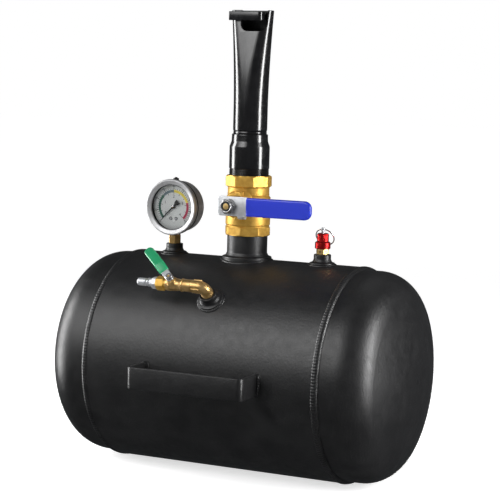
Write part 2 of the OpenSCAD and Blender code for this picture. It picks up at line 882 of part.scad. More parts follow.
// The tube's wall as one closed shell: rings of points outside and inside, joined by triangles
module barrel_wall_form() {
    last = taper_steps + 1;
    inside = (last + 1) * ring_points;
    top = last * ring_points;
    points = [for (wall = [0, barrel_wall], i = [0 : last], k = [0 : ring_points - 1])
        ring_point(i, k, wall, ring_rise(i))];
    outer_faces = [for (i = [0 : last - 1], k = [0 : ring_points - 1], half = [0, 1])
        let (n = (k + 1) % ring_points, low = i * ring_points, high = low + ring_points)
        half == 0 ? [low + k, high + k, high + n] : [low + k, high + n, low + n]];
    inner_faces = [for (f = outer_faces) [f[0] + inside, f[2] + inside, f[1] + inside]];
    bottom_faces = [for (k = [0 : ring_points - 1], half = [0, 1])
        let (n = (k + 1) % ring_points)
        half == 0 ? [k, n, inside + n] : [k, inside + n, inside + k]];
    top_faces = [for (f = bottom_faces) [f[0] + top, f[2] + top, f[1] + top]];
    polyhedron(points = points, faces = concat(outer_faces, inner_faces, bottom_faces, top_faces));
}

module barrel_tube() {
    notch_bottom = barrel_len - notch_depth;
    color("#0d0d0f") translate([0, 0, barrel_z]) difference() {
        barrel_wall_form();
        translate([notch_x, 0, notch_bottom]) rotate([90, 0, 0]) linear_extrude(barrel_od) union() {
            translate([-notch_w / 2, notch_r]) square([notch_w, notch_depth]);
            translate([-notch_w / 2 + notch_r, 0]) square([notch_w - 2 * notch_r, notch_depth]);
            for (s = [-1, 1]) translate([s * (notch_w / 2 - notch_r), notch_r]) circle(notch_r, $fn = 12);
        }
    }
}

// Bar across the notch that catches the wheel's rim, turned back into the mouth at its right end
module rim_hook() {
    back_y = -ring_t(taper_steps) / 2 - hook_stand;
    inner_y = mouth_r - barrel_wall;
    color("#0d0d0f") translate([0, 0, barrel_z + hook_bar_bottom]) difference() {
        union() {
            translate([hook_left, back_y - hook_t, 0]) cube([hook_right - hook_left, hook_t, hook_h]);
            translate([hook_right - hook_t, back_y - hook_t, 0])
                cube([hook_t, inner_y - back_y + hook_t, hook_h]);
        }
        translate([hook_left, 0, 0]) rotate([90, 0, 0]) linear_extrude(barrel_od) difference() {
            translate([-cut, -cut]) square(hook_corner_r + cut);
            translate([hook_corner_r, hook_corner_r]) circle(hook_corner_r, $fn = fine);
        }
    }
}

// ---- Pressure gauge ----

module gauge_case() {
    inner_r = case_r - case_wall;
    color("#b9bbbd") at_gauge() difference() {
        translate([0, 0, -case_back]) cylinder(h = case_back + lens_front - lens_t - gasket_t, r = case_r);
        translate([0, 0, -case_back + case_wall]) cylinder(h = 2 * bezel_od, r = inner_r);
        rotate([90, 0, 0]) cylinder(h = bezel_od, r = socket_neck_r);
        rotate([-90, 0, 0]) cylinder(h = bezel_od, r = fill_plug_neck_r);
    }
}

module gauge_bezel() {
    color("#c4c6c8") at_gauge() rotate_extrude() difference() {
        union() {
            translate([0, bezel_back]) square([bezel_r, bezel_front - bezel_back - bezel_edge_r]);
            translate([0, bezel_back]) square([bezel_r - bezel_edge_r, bezel_front - bezel_back]);
            translate([bezel_r - bezel_edge_r, bezel_front - bezel_edge_r])
                circle(bezel_edge_r, $fn = fine);
        }
        translate([0, bezel_back - cut]) square([case_r, lens_front - bezel_back + cut]);
        square([window_d / 2, 2 * bezel_front]);
    }
}

module gauge_lens() {
    color([0.85, 0.9, 0.92, 0.35]) at_gauge() translate([0, 0, lens_front - lens_t])
        cylinder(h = lens_t, r = case_r);
}

module lens_gasket() {
    color("#141414") at_gauge() translate([0, 0, lens_front - lens_t - gasket_t])
        tube(case_r, case_r - gasket_w, gasket_t);
}

module gauge_dial() {
    color("#d6d8d6") at_gauge() translate([0, 0, dial_front - dial_t]) difference() {
        cylinder(h = dial_t, r = dial_r);
        translate([0, 0, -cut]) cylinder(h = dial_t + 2 * cut, r = 2);
        for (x = dial_screw_at) translate([x, dial_screw_y, -cut])
            cylinder(h = dial_t + 2 * cut, r = dial_screw_r / 2, $fn = fine);
    }
}

module dial_screws() {
    color("#3a3a3a") at_gauge() for (x = dial_screw_at) translate([x, dial_screw_y, 0]) {
        translate([0, 0, dial_front]) cylinder(h = dial_screw_head_h, r = dial_screw_r, $fn = fine);
        translate([0, 0, plate_front_z + plate_t])
            cylinder(h = dial_front - plate_front_z - plate_t, r = dial_screw_r / 2, $fn = fine);
    }
}

// The pointer, which points at zero when at rest
module gauge_needle() {
    tip_w = 0.7;
    root_w = 2.2;
    tail_w = 4.2;
    color("#1a1a1a") at_gauge() rotate([0, 0, needle_zero_angle]) difference() {
        union() {
            translate([0, 0, needle_z]) linear_extrude(needle_t) polygon([
                [needle_len, -tip_w / 2], [needle_len, tip_w / 2], [0, root_w / 2],
                [-needle_tail, tail_w / 2], [-needle_tail, -tail_w / 2], [0, -root_w / 2]]);
            translate([0, 0, needle_z - hub_back]) cylinder(h = hub_h, r = hub_r, $fn = fine);
        }
        cylinder(h = 2 * needle_z, r = arbor_r, $fn = fine);
    }
}

// Spur outline: teeth are straight-sided and thinned by the play
module spur(teeth, count, start) {
    pitch_r = gear_module * teeth / 2;
    root_r = pitch_r - gear_dedendum * gear_module;
    tip_r = pitch_r + gear_addendum * gear_module;
    half_root = 90 / teeth * gear_root_share;
    half_tip = 90 / teeth * gear_tip_share;
    play = gear_play / pitch_r * 180 / PI / 2;
    for (i = [0 : count - 1]) rotate(start + i * 360 / teeth) polygon([
        root_r * gear_root_sink * [cos(half_root - play), -sin(half_root - play)],
        tip_r * [cos(half_tip), -sin(half_tip)],
        tip_r * [cos(half_tip), sin(half_tip)],
        root_r * gear_root_sink * [cos(half_root - play), sin(half_root - play)]]);
}

module pinion_shaft() {
    root_r = pinion_pitch_r - gear_dedendum * gear_module;
    color("#c9a13c") at_gauge() union() {
        translate([0, 0, plate_back_z])
            cylinder(h = needle_z - hub_back + hub_h - gear_side_gap - plate_back_z, r = arbor_r,
                $fn = fine);
        translate([0, 0, gear_z]) linear_extrude(gear_t) union() {
            circle(root_r, $fn = fine);
            spur(pinion_teeth, pinion_teeth, -90);
        }
    }
}

module sector_gear() {
    root_r = sector_pitch_r - gear_dedendum * gear_module;
    pitch = 360 / sector_teeth;
    // The first tooth, so that a gap faces the pinion when the pointer is at zero
    first = 90 - pitch / 2 - sector_teeth_below * pitch;
    middle = first + (sector_count - 1) * pitch / 2;
    color("#c9a13c") at_gauge() translate([sector_pivot.x, sector_pivot.y, 0]) union() {
        translate([0, 0, gear_z + gear_side_gap]) linear_extrude(gear_t - 2 * gear_side_gap) union() {
            difference() {
                circle(root_r, $fn = fine);
                circle(root_r - sector_rim, $fn = fine);
                sector_outside(root_r, first - pitch / 2, first + (sector_count - 0.5) * pitch);
            }
            rotate(middle) translate([0, -sector_arm_w / 2])
                square([root_r - sector_rim / 2, sector_arm_w]);
            rotate(sector_tail_angle) translate([0, -sector_arm_w / 2]) square([sector_tail, sector_arm_w]);
            rotate(sector_tail_angle) translate([sector_tail, 0]) circle(link_end_r, $fn = fine);
            circle(sector_boss_r, $fn = fine);
            spur(sector_teeth, sector_count, first);
        }
        translate([0, 0, plate_back_z + shaft_gap])
            cylinder(h = plate_front_z + plate_t - plate_back_z - 2 * shaft_gap, r = sector_pin_r,
                $fn = fine);
        rotate(sector_tail_angle) translate([sector_tail, 0, link_z])
            cylinder(h = gear_z + gear_t - gear_side_gap - link_z, r = sector_pin_r, $fn = fine);
    }
}

// Everything outside the two angles, out past a radius
module sector_outside(r, from, to) {
    far = 3 * r;
    difference() {
        circle(far);
        polygon([[0, 0], far * [cos(from), sin(from)], far * [cos((from + to) / 2), sin((from + to) / 2)],
                 far * [cos(to), sin(to)]]);
    }
}

module movement_link() {
    color("#c9a13c") at_gauge() translate([sector_pivot.x, sector_pivot.y, link_z])
        rotate(sector_tail_angle)
        translate([sector_tail, 0, 0]) rotate(link_angle - sector_tail_angle) linear_extrude(link_t)
            difference() {
            union() {
                circle(link_eye_r, $fn = fine);
                translate([0, -link_w / 2]) square([link_len, link_w]);
                translate([link_len, 0]) circle(link_end_r, $fn = fine);
            }
            circle(sector_pin_r + shaft_gap, $fn = fine);
            translate([link_len, 0]) circle(link_hole_r, $fn = fine);
        }
}

// Outline shared by the two plates, down to some depth below the pointer's axis
module plate_outline(bottom) {
    difference() {
        translate([-plate_w / 2, bottom]) square([plate_w, plate_top - bottom]);
        circle(arbor_r + shaft_gap, $fn = fine);
        translate(sector_pivot) circle(sector_pin_r + shaft_gap, $fn = fine);
    }
}

module movement_plates() {
    color("#c9a13c") at_gauge() union() {
        translate([0, 0, plate_back_z]) linear_extrude(plate_t) plate_outline(back_plate_bottom);
        translate([0, 0, plate_front_z]) linear_extrude(plate_t) plate_outline(front_plate_bottom);
        for (p = pillars) translate([p.x, p.y, plate_back_z])
            cylinder(h = plate_front_z + plate_t - plate_back_z, r = pillar_r, $fn = fine);
        for (x = dial_screw_at) translate([x, dial_screw_y, plate_front_z])
            tube(dial_screw_r, dial_screw_r / 2, dial_front - dial_t - plate_front_z);
    }
}

// The flattened tube that uncurls under pressure, closed at its free end
module bourdon_tube() {
    inner_r = tube_mid_r - tube_w / 2;
    outer_r = tube_mid_r + tube_w / 2;
    color("#c9a13c") at_gauge() difference() {
        translate([0, 0, tube_z]) rotate(tube_start - tube_sweep) rotate_extrude(angle = tube_sweep)
            difference() {
            translate([inner_r, 0]) square([tube_w, tube_depth]);
            translate([inner_r + tube_wall, tube_wall])
                square([tube_w - 2 * tube_wall, tube_depth - 2 * tube_wall]);
        }
        socket_block_form();
    }
    color("#c9a13c") at_gauge() translate([0, 0, tube_z]) rotate(tube_start - tube_sweep - tube_cap_angle)
        rotate_extrude(angle = tube_cap_angle) translate([inner_r, 0]) square([tube_w, tube_depth]);
}

// The socket's block inside the case, which carries the movement and the tube
module socket_block_form() {
    translate([-socket_block.x / 2, -case_r + case_wall + socket_block_lift, socket_block_back])
        cube([socket_block.x, socket_block.y, plate_front_z - socket_block_back]);
}

module gauge_socket() {
    color("#c9a13c") {
        difference() {
            union() {
                at_gauge_port() translate([0, 0, bung_rise])
                    flats_prism(socket_flats, socket_hex_top - bung_rise, 6);
                at_gauge_port() translate([0, 0, bung_rise - socket_insert])
                    cylinder(h = socket_insert + cut, r = bung_bore / 2);
                at_gauge_port() translate([0, 0, bung_rise])
                    cylinder(h = gauge_rise - case_r + case_wall + socket_block_lift + cut -
                        bung_rise, r = socket_neck_r);
                at_gauge() socket_block_form();
            }
            at_gauge_port() cylinder(h = gauge_rise - case_r + socket_block.y, r = socket_bore_r);
        }
    }
}

module gauge_fill_plug() {
    color("#1a1a1a") at_gauge() rotate([-90, 0, 0]) translate([0, 0, case_r - case_wall]) {
        cylinder(h = fill_plug_h, r = fill_plug_neck_r, $fn = fine);
        translate([0, 0, case_wall]) cylinder(h = fill_plug_h - case_wall, r = fill_plug_r, $fn = fine);
    }
}

// ---- Relief valve ----

module relief_body() {
    color("#c9a13c") at_relief_port() difference() {
        union() {
            translate([0, 0, bung_rise]) flats_prism(relief_flats, relief_hex_h, 6);
            translate([0, 0, bung_rise - relief_insert])
                cylinder(h = relief_insert + cut, r = bung_bore / 2);
            translate([0, 0, bung_rise]) cylinder(h = relief_hex_h + relief_neck_h, r = relief_skirt_r);
        }
        cylinder(h = 2 * bung_rise, r = relief_bore_r);
        translate([0, 0, relief_seat]) cylinder(h = relief_cap_h, r = relief_chamber_r);
        translate([0, 0, relief_seat + 2 * relief_vent_r]) rotate([90, 0, 0])
            cylinder(h = tank_r, r = relief_vent_r, $fn = fine);
    }
}

module relief_cap() {
    base = bung_rise + relief_hex_h;
    color("#c81e1e") at_relief_port() difference() {
        union() {
            translate([0, 0, base]) cylinder(h = relief_cap_low_h, r = relief_cap_od / 2);
            translate([0, 0, base]) cylinder(h = relief_cap_h, r = relief_cap_top_od / 2);
        }
        translate([0, 0, base - cut]) cylinder(h = relief_neck_h + cut, r = relief_skirt_r);
        translate([0, 0, base]) cylinder(h = relief_cap_h - relief_cap_wall, r = relief_chamber_r);
        translate([0, 0, base]) cylinder(h = 2 * relief_cap_h, r = relief_stem_r + shaft_gap);
    }
}

module relief_stem() {
    disc_z = relief_seat + relief_seal_h;
    color("#c9a13c") at_relief_port() difference() {
        union() {
            translate([0, 0, disc_z]) cylinder(h = relief_disc_h, r = relief_disc_r);
            translate([0, 0, disc_z]) cylinder(h = relief_stem_top - disc_z - relief_stem_r,
                r = relief_stem_r);
            translate([0, 0, relief_stem_top - relief_stem_r]) sphere(relief_stem_r, $fn = fine);
        }
        translate([0, 0, ring_eye_z]) rotate([0, 90, 0])
            cylinder(h = 4 * relief_stem_r, r = ring_eye_r, center = true, $fn = fine);
    }
}

module relief_seal() {
    color("#181818") at_relief_port() translate([0, 0, relief_seat])
        tube(relief_disc_r - face_gap, relief_bore_r + face_gap / 2, relief_seal_h);
}

// A coil spring whose wire is swept round its turns
module relief_spring() {
    bottom = relief_seat + relief_seal_h + relief_disc_h + spring_wire / 2 + shaft_gap;
    top = bung_rise + relief_hex_h + relief_cap_h - relief_cap_wall - spring_wire / 2 - shaft_gap;
    last = spring_turns * spring_steps;
    points = [for (i = [0 : last], k = [0 : spring_sides - 1])
        let (turn = 360 * i / spring_steps, side = 360 * k / spring_sides)
        let (r = spring_r + spring_wire / 2 * cos(side))
        [r * cos(turn), r * sin(turn), bottom + (top - bottom) * i / last + spring_wire / 2 * sin(side)]];
    sides = [for (i = [0 : last - 1], k = [0 : spring_sides - 1])
        let (n = (k + 1) % spring_sides)
        [i * spring_sides + k, (i + 1) * spring_sides + k, (i + 1) * spring_sides + n, i *
            spring_sides + n]];
    start = [for (k = [0 : spring_sides - 1]) k];
    end = [for (k = [0 : spring_sides - 1]) last * spring_sides + spring_sides - 1 - k];
    color("#9a9da1") at_relief_port() polyhedron(points = points, faces = concat(sides, [start, end]));
}

module pull_ring() {
    color("#c4c7ca") at_relief_port() translate([0, 0, ring_eye_z]) rotate([ring_rest_tilt, 0, 0])
        translate([0, 0, -ring_mid_r]) rotate([90, 0, 0]) rotate_extrude()
            translate([ring_mid_r, 0]) circle(pull_ring_wire / 2, $fn = fine);
}

// ---- Inlet valve and air plug ----

module inlet_elbow() {
    insert_z = tank_r + bung_rise - inlet_leg_insert;
    run = inlet_body_front;
    color("#c9a13c") difference() {
        union() {
            at_inlet() translate([0, 0, insert_z])
                cylinder(h = inlet_leg_insert + cut, r = bung_bore / 2);
            at_inlet() translate([0, 0, tank_r + bung_rise])
                cylinder(h = inlet_rise - bung_rise, r = inlet_leg_r);
            at_inlet() translate([0, 0, inlet_pipe_r]) sphere(inlet_leg_r);
            at_inlet_run(0) cylinder(h = run, r = inlet_leg_r);
            at_inlet_run(0) cylinder(h = run + inlet_thread_len, r = inlet_thread_r);
        }
        at_inlet() translate([0, 0, insert_z - cut])
            cylinder(h = inlet_pipe_r - insert_z + cut, r = inlet_flow_r);
        at_inlet() translate([0, 0, inlet_pipe_r]) sphere(inlet_flow_r);
        at_inlet_run(0) cylinder(h = run + inlet_thread_len + cut, r = inlet_flow_r);
    }
}

module inlet_valve_body() {
    body_len = inlet_body_back - inlet_body_front;
    color("#c9a13c") difference() {
        union() {
            at_inlet_run(inlet_body_front) cylinder(h = body_len, r = inlet_valve_r - inlet_rim_rise);
            at_inlet_run(inlet_body_front) cylinder(h = inlet_rim_w, r = inlet_valve_r);
            at_inlet_run(inlet_body_back - 3 * inlet_rim_w)
                cylinder(h = 3 * inlet_rim_w, r = inlet_valve_r);
            at_inlet_stem() cylinder(h = inlet_boss_h, r = inlet_boss_r);
        }
        at_inlet_run(inlet_body_front - cut) cylinder(h = inlet_thread_len + cut, r = inlet_thread_r);
        at_inlet_run(inlet_body_front) cylinder(h = body_len, r = inlet_flow_r);
        at_inlet_run(inlet_stem_x - inlet_seat_far) cylinder(h = inlet_seat_far, r = inlet_seat_r);
        at_inlet_run(inlet_stem_x - inlet_seat_near) cylinder(h = body_len, r = inlet_cavity_r);
        at_inlet_stem() sphere(inlet_ball_r + ball_gap);
        at_inlet_stem() cylinder(h = inlet_boss_h + cut, r = inlet_stem_r + shaft_gap);
    }
}

module inlet_valve_end() {
    hex_len = inlet_end_back - inlet_body_back;
    spigot = inlet_body_back - inlet_stem_x - inlet_seat_near;
    color("#c9a13c") difference() {
        union() {
            at_inlet_run(inlet_body_back - spigot) cylinder(h = spigot + cut, r = inlet_cavity_r);
            at_inlet_run(inlet_body_back) cylinder(h = hex_len, r = inlet_cavity_r + inlet_end_wall);
            at_inlet_run(inlet_body_back + inlet_rim_w) flats_prism(inlet_flats, hex_len - inlet_rim_w, 6);
        }
        at_inlet_run(inlet_stem_x) cylinder(h = inlet_end_back, r = inlet_flow_r);
        at_inlet_run(inlet_stem_x) cylinder(h = inlet_seat_far, r = inlet_seat_r);
        at_inlet_stem() sphere(inlet_ball_r + ball_gap);
        at_inlet_run(inlet_end_back - inlet_thread_len)
            cylinder(h = inlet_thread_len + cut, r = inlet_thread_r);
    }
}

// Turns the small lever's pieces to their resting angle
module at_inlet_lever() { at_inlet_stem() rotate([0, 0, 180 - inlet_lever_angle]) children(); }

module inlet_ball() {
    color("#c8ccd0") at_inlet_lever() difference() {
        sphere(inlet_ball_r);
        rotate([0, 90, 0]) cylinder(h = 2 * inlet_ball_od, r = inlet_flow_r - inlet_bore_step,
            center = true);
        translate([0, 0, inlet_ball_r]) cube([inlet_slot_t, inlet_ball_od, 2 * inlet_slot_t],
            center = true);
    }
}

module inlet_seats() {
    color("#f0eee6") difference() {
        for (s = [-1, 1]) at_inlet_run(inlet_stem_x + s * (inlet_seat_far + inlet_seat_near) / 2)
            translate([0, 0, -(inlet_seat_far - inlet_seat_near) / 2])
                tube(inlet_seat_r, inlet_flow_r, inlet_seat_far - inlet_seat_near);
        at_inlet_stem() sphere(inlet_ball_r + ball_gap);
    }
}

module inlet_stem() {
    square_end = inlet_lever_stand + inlet_lever_t;
    color("#c9a13c") at_inlet_lever() {
        intersection() {
            translate([-inlet_slot_t / 2, -inlet_stem_r, inlet_ball_r - inlet_slot_t])
                cube([inlet_slot_t, 2 * inlet_stem_r, inlet_slot_t + cut]);
            cylinder(h = inlet_lever_stand, r = inlet_stem_r);
        }
        translate([0, 0, inlet_ball_r + face_gap])
            cylinder(h = inlet_lever_stand - inlet_ball_r - face_gap, r = inlet_stem_r);
        inlet_square();
        translate([0, 0, square_end - cut / 2])
            cylinder(h = inlet_nut_h + cut / 2, r = inlet_stem_thread_r);
    }
}

// The square on the small stem that turns with its lever
module inlet_square() {
    translate([0, 0, inlet_lever_stand + inlet_lever_t / 2])
        cube([inlet_square_w, inlet_square_w, inlet_lever_t], center = true);
}

module inlet_gland_nut() {
    color("#b8912f") at_inlet_stem() translate([0, 0, inlet_boss_h]) difference() {
        flats_prism(inlet_gland_flats, inlet_gland_h, 6);
        translate([0, 0, -cut]) cylinder(h = inlet_gland_h + 2 * cut, r = inlet_stem_r + shaft_gap);
    }
}

// Side outline of the cranked lever between two reaches, some thickness round its middle line
module crank_outline(from, to, t) {
    mid = inlet_lever_stand + inlet_lever_t / 2;
    high = mid + inlet_crank_rise;
    polygon([
        [from, mid - t / 2], [inlet_crank_start, mid - t / 2], [inlet_crank_end, high - t / 2],
        [to, high - t / 2], [to, high + t / 2], [inlet_crank_end, high + t / 2],
        [inlet_crank_start, mid + t / 2], [from, mid + t / 2]]);
}

module crank_solid(from, to, t, w) {
    rotate([90, 0, 0]) translate([0, 0, -w / 2]) linear_extrude(w) crank_outline(from, to, t);
}

module inlet_lever_form() {
    intersection() {
        crank_solid(-inlet_lever_w, inlet_lever_reach - inlet_blade_gap, inlet_lever_t, inlet_lever_w);
        union() {
            cylinder(h = inlet_pipe_r, r = inlet_lever_w / 2);
            translate([0, -inlet_lever_w / 2, 0]) cube([inlet_lever_reach, inlet_lever_w, inlet_pipe_r]);
        }
    }
}

module inlet_lever() {
    color("#c4c7ca") at_inlet_lever() difference() {
        inlet_lever_form();
        inlet_square();
    }
}

module inlet_sleeve() {
    end_r = inlet_sleeve_w / 2;
    color("#1f8a52") at_inlet_lever() difference() {
        intersection() {
            crank_solid(inlet_sleeve_start, inlet_lever_reach, inlet_sleeve_t, inlet_sleeve_w);
            union() {
                translate([inlet_lever_reach - end_r, 0, 0]) cylinder(h = inlet_pipe_r, r = end_r);
                translate([0, -end_r, 0]) cube([inlet_lever_reach - end_r, inlet_sleeve_w, inlet_pipe_r]);
            }
        }
        inlet_lever_form();
    }
}

module inlet_lever_nut() {
    color("#9a9da1") at_inlet_lever() translate([0, 0, inlet_lever_stand + inlet_lever_t]) difference() {
        flats_prism(inlet_nut_flats, inlet_nut_h, 6);
        translate([0, 0, -cut]) cylinder(h = inlet_nut_h + 2 * cut, r = inlet_stem_thread_r);
    }
}

module air_plug() {
    collar_z = plug_hex_h;
    groove_z = collar_z + plug_collar_h;
    nose_z = groove_z + plug_groove_h;
    nose_r = plug_nose_d / 2;
    color("#c4c7ca") at_inlet_run(inlet_end_back) difference() {
        union() {
            translate([0, 0, -inlet_thread_len]) cylinder(h = inlet_thread_len + cut, r = inlet_thread_r);
            flats_prism(plug_hex_flats, plug_hex_h, 6);
            translate([0, 0, collar_z]) cylinder(h = plug_collar_h, r = plug_collar_r);
            translate([0, 0, groove_z]) cylinder(h = plug_groove_h, r = plug_groove_r);
            translate([0, 0, nose_z]) cylinder(h = plug_nose_len - plug_chamfer, r = nose_r);
            translate([0, 0, nose_z + plug_nose_len - plug_chamfer])
                cylinder(h = plug_chamfer, r1 = nose_r, r2 = nose_r - plug_chamfer);
        }
        translate([0, 0, -inlet_thread_len - cut])
            cylinder(h = inlet_thread_len + nose_z + plug_nose_len + 2 * cut, r = plug_bore_r);
    }
}

tank_shell();
left_head();
right_head();
left_head_weld();
right_head_weld();
outlet_port();
gauge_port();
relief_port();
inlet_port();
port_welds();
carry_handle();
handle_welds();
valve_body();
valve_end_cap();
valve_ball();
lower_seat();
upper_seat();
valve_stem();
stem_packing();
gland_nut();
valve_lever();
lever_sleeve();
lever_nut();
barrel_adapter();
barrel_weld();
barrel_tube();
rim_hook();
gauge_case();
gauge_bezel();
gauge_lens();
lens_gasket();
gauge_dial();
dial_screws();
gauge_needle();
pinion_shaft();
sector_gear();
movement_link();
movement_plates();
bourdon_tube();
gauge_socket();
gauge_fill_plug();
relief_body();
relief_cap();
relief_stem();
relief_seal();
relief_spring();
pull_ring();
inlet_elbow();
inlet_valve_body();
inlet_valve_end();
inlet_ball();
inlet_seats();
inlet_stem();
inlet_gland_nut();
inlet_lever();
inlet_sleeve();
inlet_lever_nut();
air_plug();
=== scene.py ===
"""Portable tyre bead seater: the visual model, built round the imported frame.

A small air tank carries a quick-dump ball valve with a flattened blast barrel, a pressure gauge, a relief
valve and an inlet valve. Each sub-assembly is a class with its sizes as fields, each finish is a frozen
class, and main() builds them in order. Metres, +Z up, the front faces -Y.
"""

import json
import logging
import math
from collections.abc import Callable, Sequence
from dataclasses import dataclass
from enum import Enum

import bmesh
import bpy
from mathutils import Matrix, Vector, noise

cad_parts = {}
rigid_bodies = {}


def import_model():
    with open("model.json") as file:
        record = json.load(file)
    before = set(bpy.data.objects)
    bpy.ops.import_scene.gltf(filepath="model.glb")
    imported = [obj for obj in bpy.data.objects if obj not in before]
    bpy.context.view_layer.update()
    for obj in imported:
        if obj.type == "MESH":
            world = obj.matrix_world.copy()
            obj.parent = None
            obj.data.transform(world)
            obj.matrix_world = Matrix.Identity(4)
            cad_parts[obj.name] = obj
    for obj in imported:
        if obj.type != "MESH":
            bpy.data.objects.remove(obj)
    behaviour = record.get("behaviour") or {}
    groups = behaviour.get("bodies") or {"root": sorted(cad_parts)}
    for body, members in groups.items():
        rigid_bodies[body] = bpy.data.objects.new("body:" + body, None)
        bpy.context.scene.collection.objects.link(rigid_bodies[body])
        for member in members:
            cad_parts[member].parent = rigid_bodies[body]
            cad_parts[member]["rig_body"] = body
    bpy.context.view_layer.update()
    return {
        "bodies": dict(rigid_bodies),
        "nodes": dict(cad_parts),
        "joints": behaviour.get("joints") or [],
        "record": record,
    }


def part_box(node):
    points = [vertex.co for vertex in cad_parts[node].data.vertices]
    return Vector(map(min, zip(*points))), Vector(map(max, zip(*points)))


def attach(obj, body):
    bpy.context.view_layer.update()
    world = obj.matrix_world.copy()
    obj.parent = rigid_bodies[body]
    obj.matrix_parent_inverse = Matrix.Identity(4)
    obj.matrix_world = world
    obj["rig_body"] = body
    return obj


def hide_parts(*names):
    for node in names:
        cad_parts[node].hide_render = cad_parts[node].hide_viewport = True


log = logging.getLogger("bead_seater")

MM = 0.001
MERGE_DISTANCE = 1e-6
AXIS_X = Vector((1, 0, 0))
AXIS_Y = Vector((0, 1, 0))
AXIS_Z = Vector((0, 0, 1))

Point2 = tuple[float, float]
Colour = tuple[float, float, float]
Piece = bpy.types.Object


# ---------------------------------------------------------------- shader graphs


class Graph:
    """A material's node tree, with short calls for the nodes that the finishes share."""

    def __init__(self, name: str) -> None:
        """Makes the material with one Principled shader.

        Args:
            name: the material's name.
        """
        self.material = bpy.data.materials.new(name)
        self.material.use_nodes = True
        self.tree = self.material.node_tree
        self.shader = self.tree.nodes["Principled BSDF"]
        self.place = self.tree.nodes.new("ShaderNodeTexCoord").outputs["Object"]

    def link(self, source: bpy.types.NodeSocket, target: bpy.types.NodeSocket) -> None:
        """Joins two sockets."""
        self.tree.links.new(source, target)

    def set(self, **values: object) -> None:
        """Sets constant values on the shader's own sockets, with _ for each space in a name."""
        for name, value in values.items():
            if isinstance(value, tuple):
                value = (*value, 1.0)
            self.shader.inputs[name.replace("_", " ")].default_value = value

    def stretched(self, stretch: tuple[float, float, float]) -> bpy.types.NodeSocket:
        """Object coordinates, scaled along each axis.

        Args:
            stretch: the scale along X, Y and Z.

        Returns:
            The scaled vector's socket.
        """
        mapping = self.tree.nodes.new("ShaderNodeMapping")
        mapping.inputs["Scale"].default_value = stretch
        self.link(self.place, mapping.inputs["Vector"])
        return mapping.outputs["Vector"]

    def noise(self, size: float, detail: float = 2.0,
              stretch: tuple[float, float, float] = (1, 1, 1)) -> bpy.types.NodeSocket:
        """A noise pattern.

        Args:
            size: the pattern's grain, in metres.
            detail: the number of finer layers.
            stretch: the scale along X, Y and Z.

        Returns:
            The noise factor's socket.
        """
        node = self.tree.nodes.new("ShaderNodeTexNoise")
        node.inputs["Scale"].default_value = 1 / size
        node.inputs["Detail"].default_value = detail
        self.link(self.stretched(stretch), node.inputs["Vector"])
        return node.outputs["Fac"]

    def ramp(self, factor: bpy.types.NodeSocket, low: float, high: float,
             start: Colour, end: Colour) -> bpy.types.NodeSocket:
        """A colour that turns from one to another over part of a factor's range.

        Args:
            factor: the factor's socket.
            low: the factor where the first colour ends.
            high: the factor where the second colour is reached.
            start: the first colour.
            end: the second colour.

        Returns:
            The colour's socket.
        """
        node = self.tree.nodes.new("ShaderNodeValToRGB")
        first, last = node.color_ramp.elements
        first.position, first.color = low, (*start, 1)
        last.position, last.color = high, (*end, 1)
        self.link(factor, node.inputs["Fac"])
        return node.outputs["Color"]

    def spread(self, factor: bpy.types.NodeSocket, low: float, high: float,
               out_low: float, out_high: float) -> bpy.types.NodeSocket:
        """A factor's range moved to another range.

        Args:
            factor: the factor's socket.
            low: the factor that gives the first value.
            high: the factor that gives the second value.
            out_low: the first value.
            out_high: the second value.

        Returns:
            The value's socket.
        """
        node = self.tree.nodes.new("ShaderNodeMapRange")
        for name, value in (("From Min", low), ("From Max", high), ("To Min", out_low), ("To Max", out_high)):
            node.inputs[name].default_value = value
        self.link(factor, node.inputs["Value"])
        return node.outputs["Result"]

    def colour_by(self, socket: bpy.types.NodeSocket) -> None:
        """Drives the shader's base colour."""
        self.link(socket, self.shader.inputs["Base Color"])

    def roughness_by(self, socket: bpy.types.NodeSocket) -> None:
        """Drives the shader's roughness."""
        self.link(socket, self.shader.inputs["Roughness"])

    def bump(self, height: bpy.types.NodeSocket, depth: float, strength: float = 1.0) -> None:
        """Adds relief on top of the relief that is there.

        Args:
            height: the height pattern's socket.
            depth: the relief's depth in metres.
            strength: how strongly it shows, up to 1.
        """
        node = self.tree.nodes.new("ShaderNodeBump")
        node.inputs["Distance"].default_value = depth
        node.inputs["Strength"].default_value = strength
        self.link(height, node.inputs["Height"])
        normal = self.shader.inputs["Normal"]
        if normal.links:
            self.link(normal.links[0].from_socket, node.inputs["Normal"])
        self.link(node.outputs["Normal"], normal)


# ---------------------------------------------------------------- finishes


@dataclass(frozen=True)
class Finish:
    """One finish: the record's slot that it belongs to, and the material that shows it."""

    name: str
    slot: str

    def material(self) -> bpy.types.Material:
        """The finish's material, made once.

        Returns:
            The Blender material.
        """
        made = bpy.data.materials.get(self.name)
        if made is None:
            graph = Graph(self.name)
            self.shade(graph)
            made = graph.material
        return made

    def shade(self, graph: Graph) -> None:
        """Draws the finish; each kind of finish has its own way.

        Args:
            graph: the material's node tree.
        """
        raise NotImplementedError


@dataclass(frozen=True)
class PowderCoat(Finish):
    """Satin powder coat: a fine orange peel over a slightly uneven black."""

    dark: Colour = (0.0055, 0.0055, 0.006)
    light: Colour = (0.0095, 0.0095, 0.010)
    sheen_low: float = 0.38
    sheen_high: float = 0.47

    def shade(self, graph: Graph) -> None:
        """Draws mottled black, uneven gloss and two grains of peel."""
        graph.colour_by(graph.ramp(graph.noise(30 * MM, 4), 0.35, 0.7, self.dark, self.light))
        graph.roughness_by(graph.spread(graph.noise(9 * MM, 3), 0.3, 0.7, self.sheen_low, self.sheen_high))
        graph.bump(graph.noise(2.6 * MM, 3), 0.22 * MM, 0.8)
        graph.bump(graph.noise(0.7 * MM, 1), 0.03 * MM, 0.5)


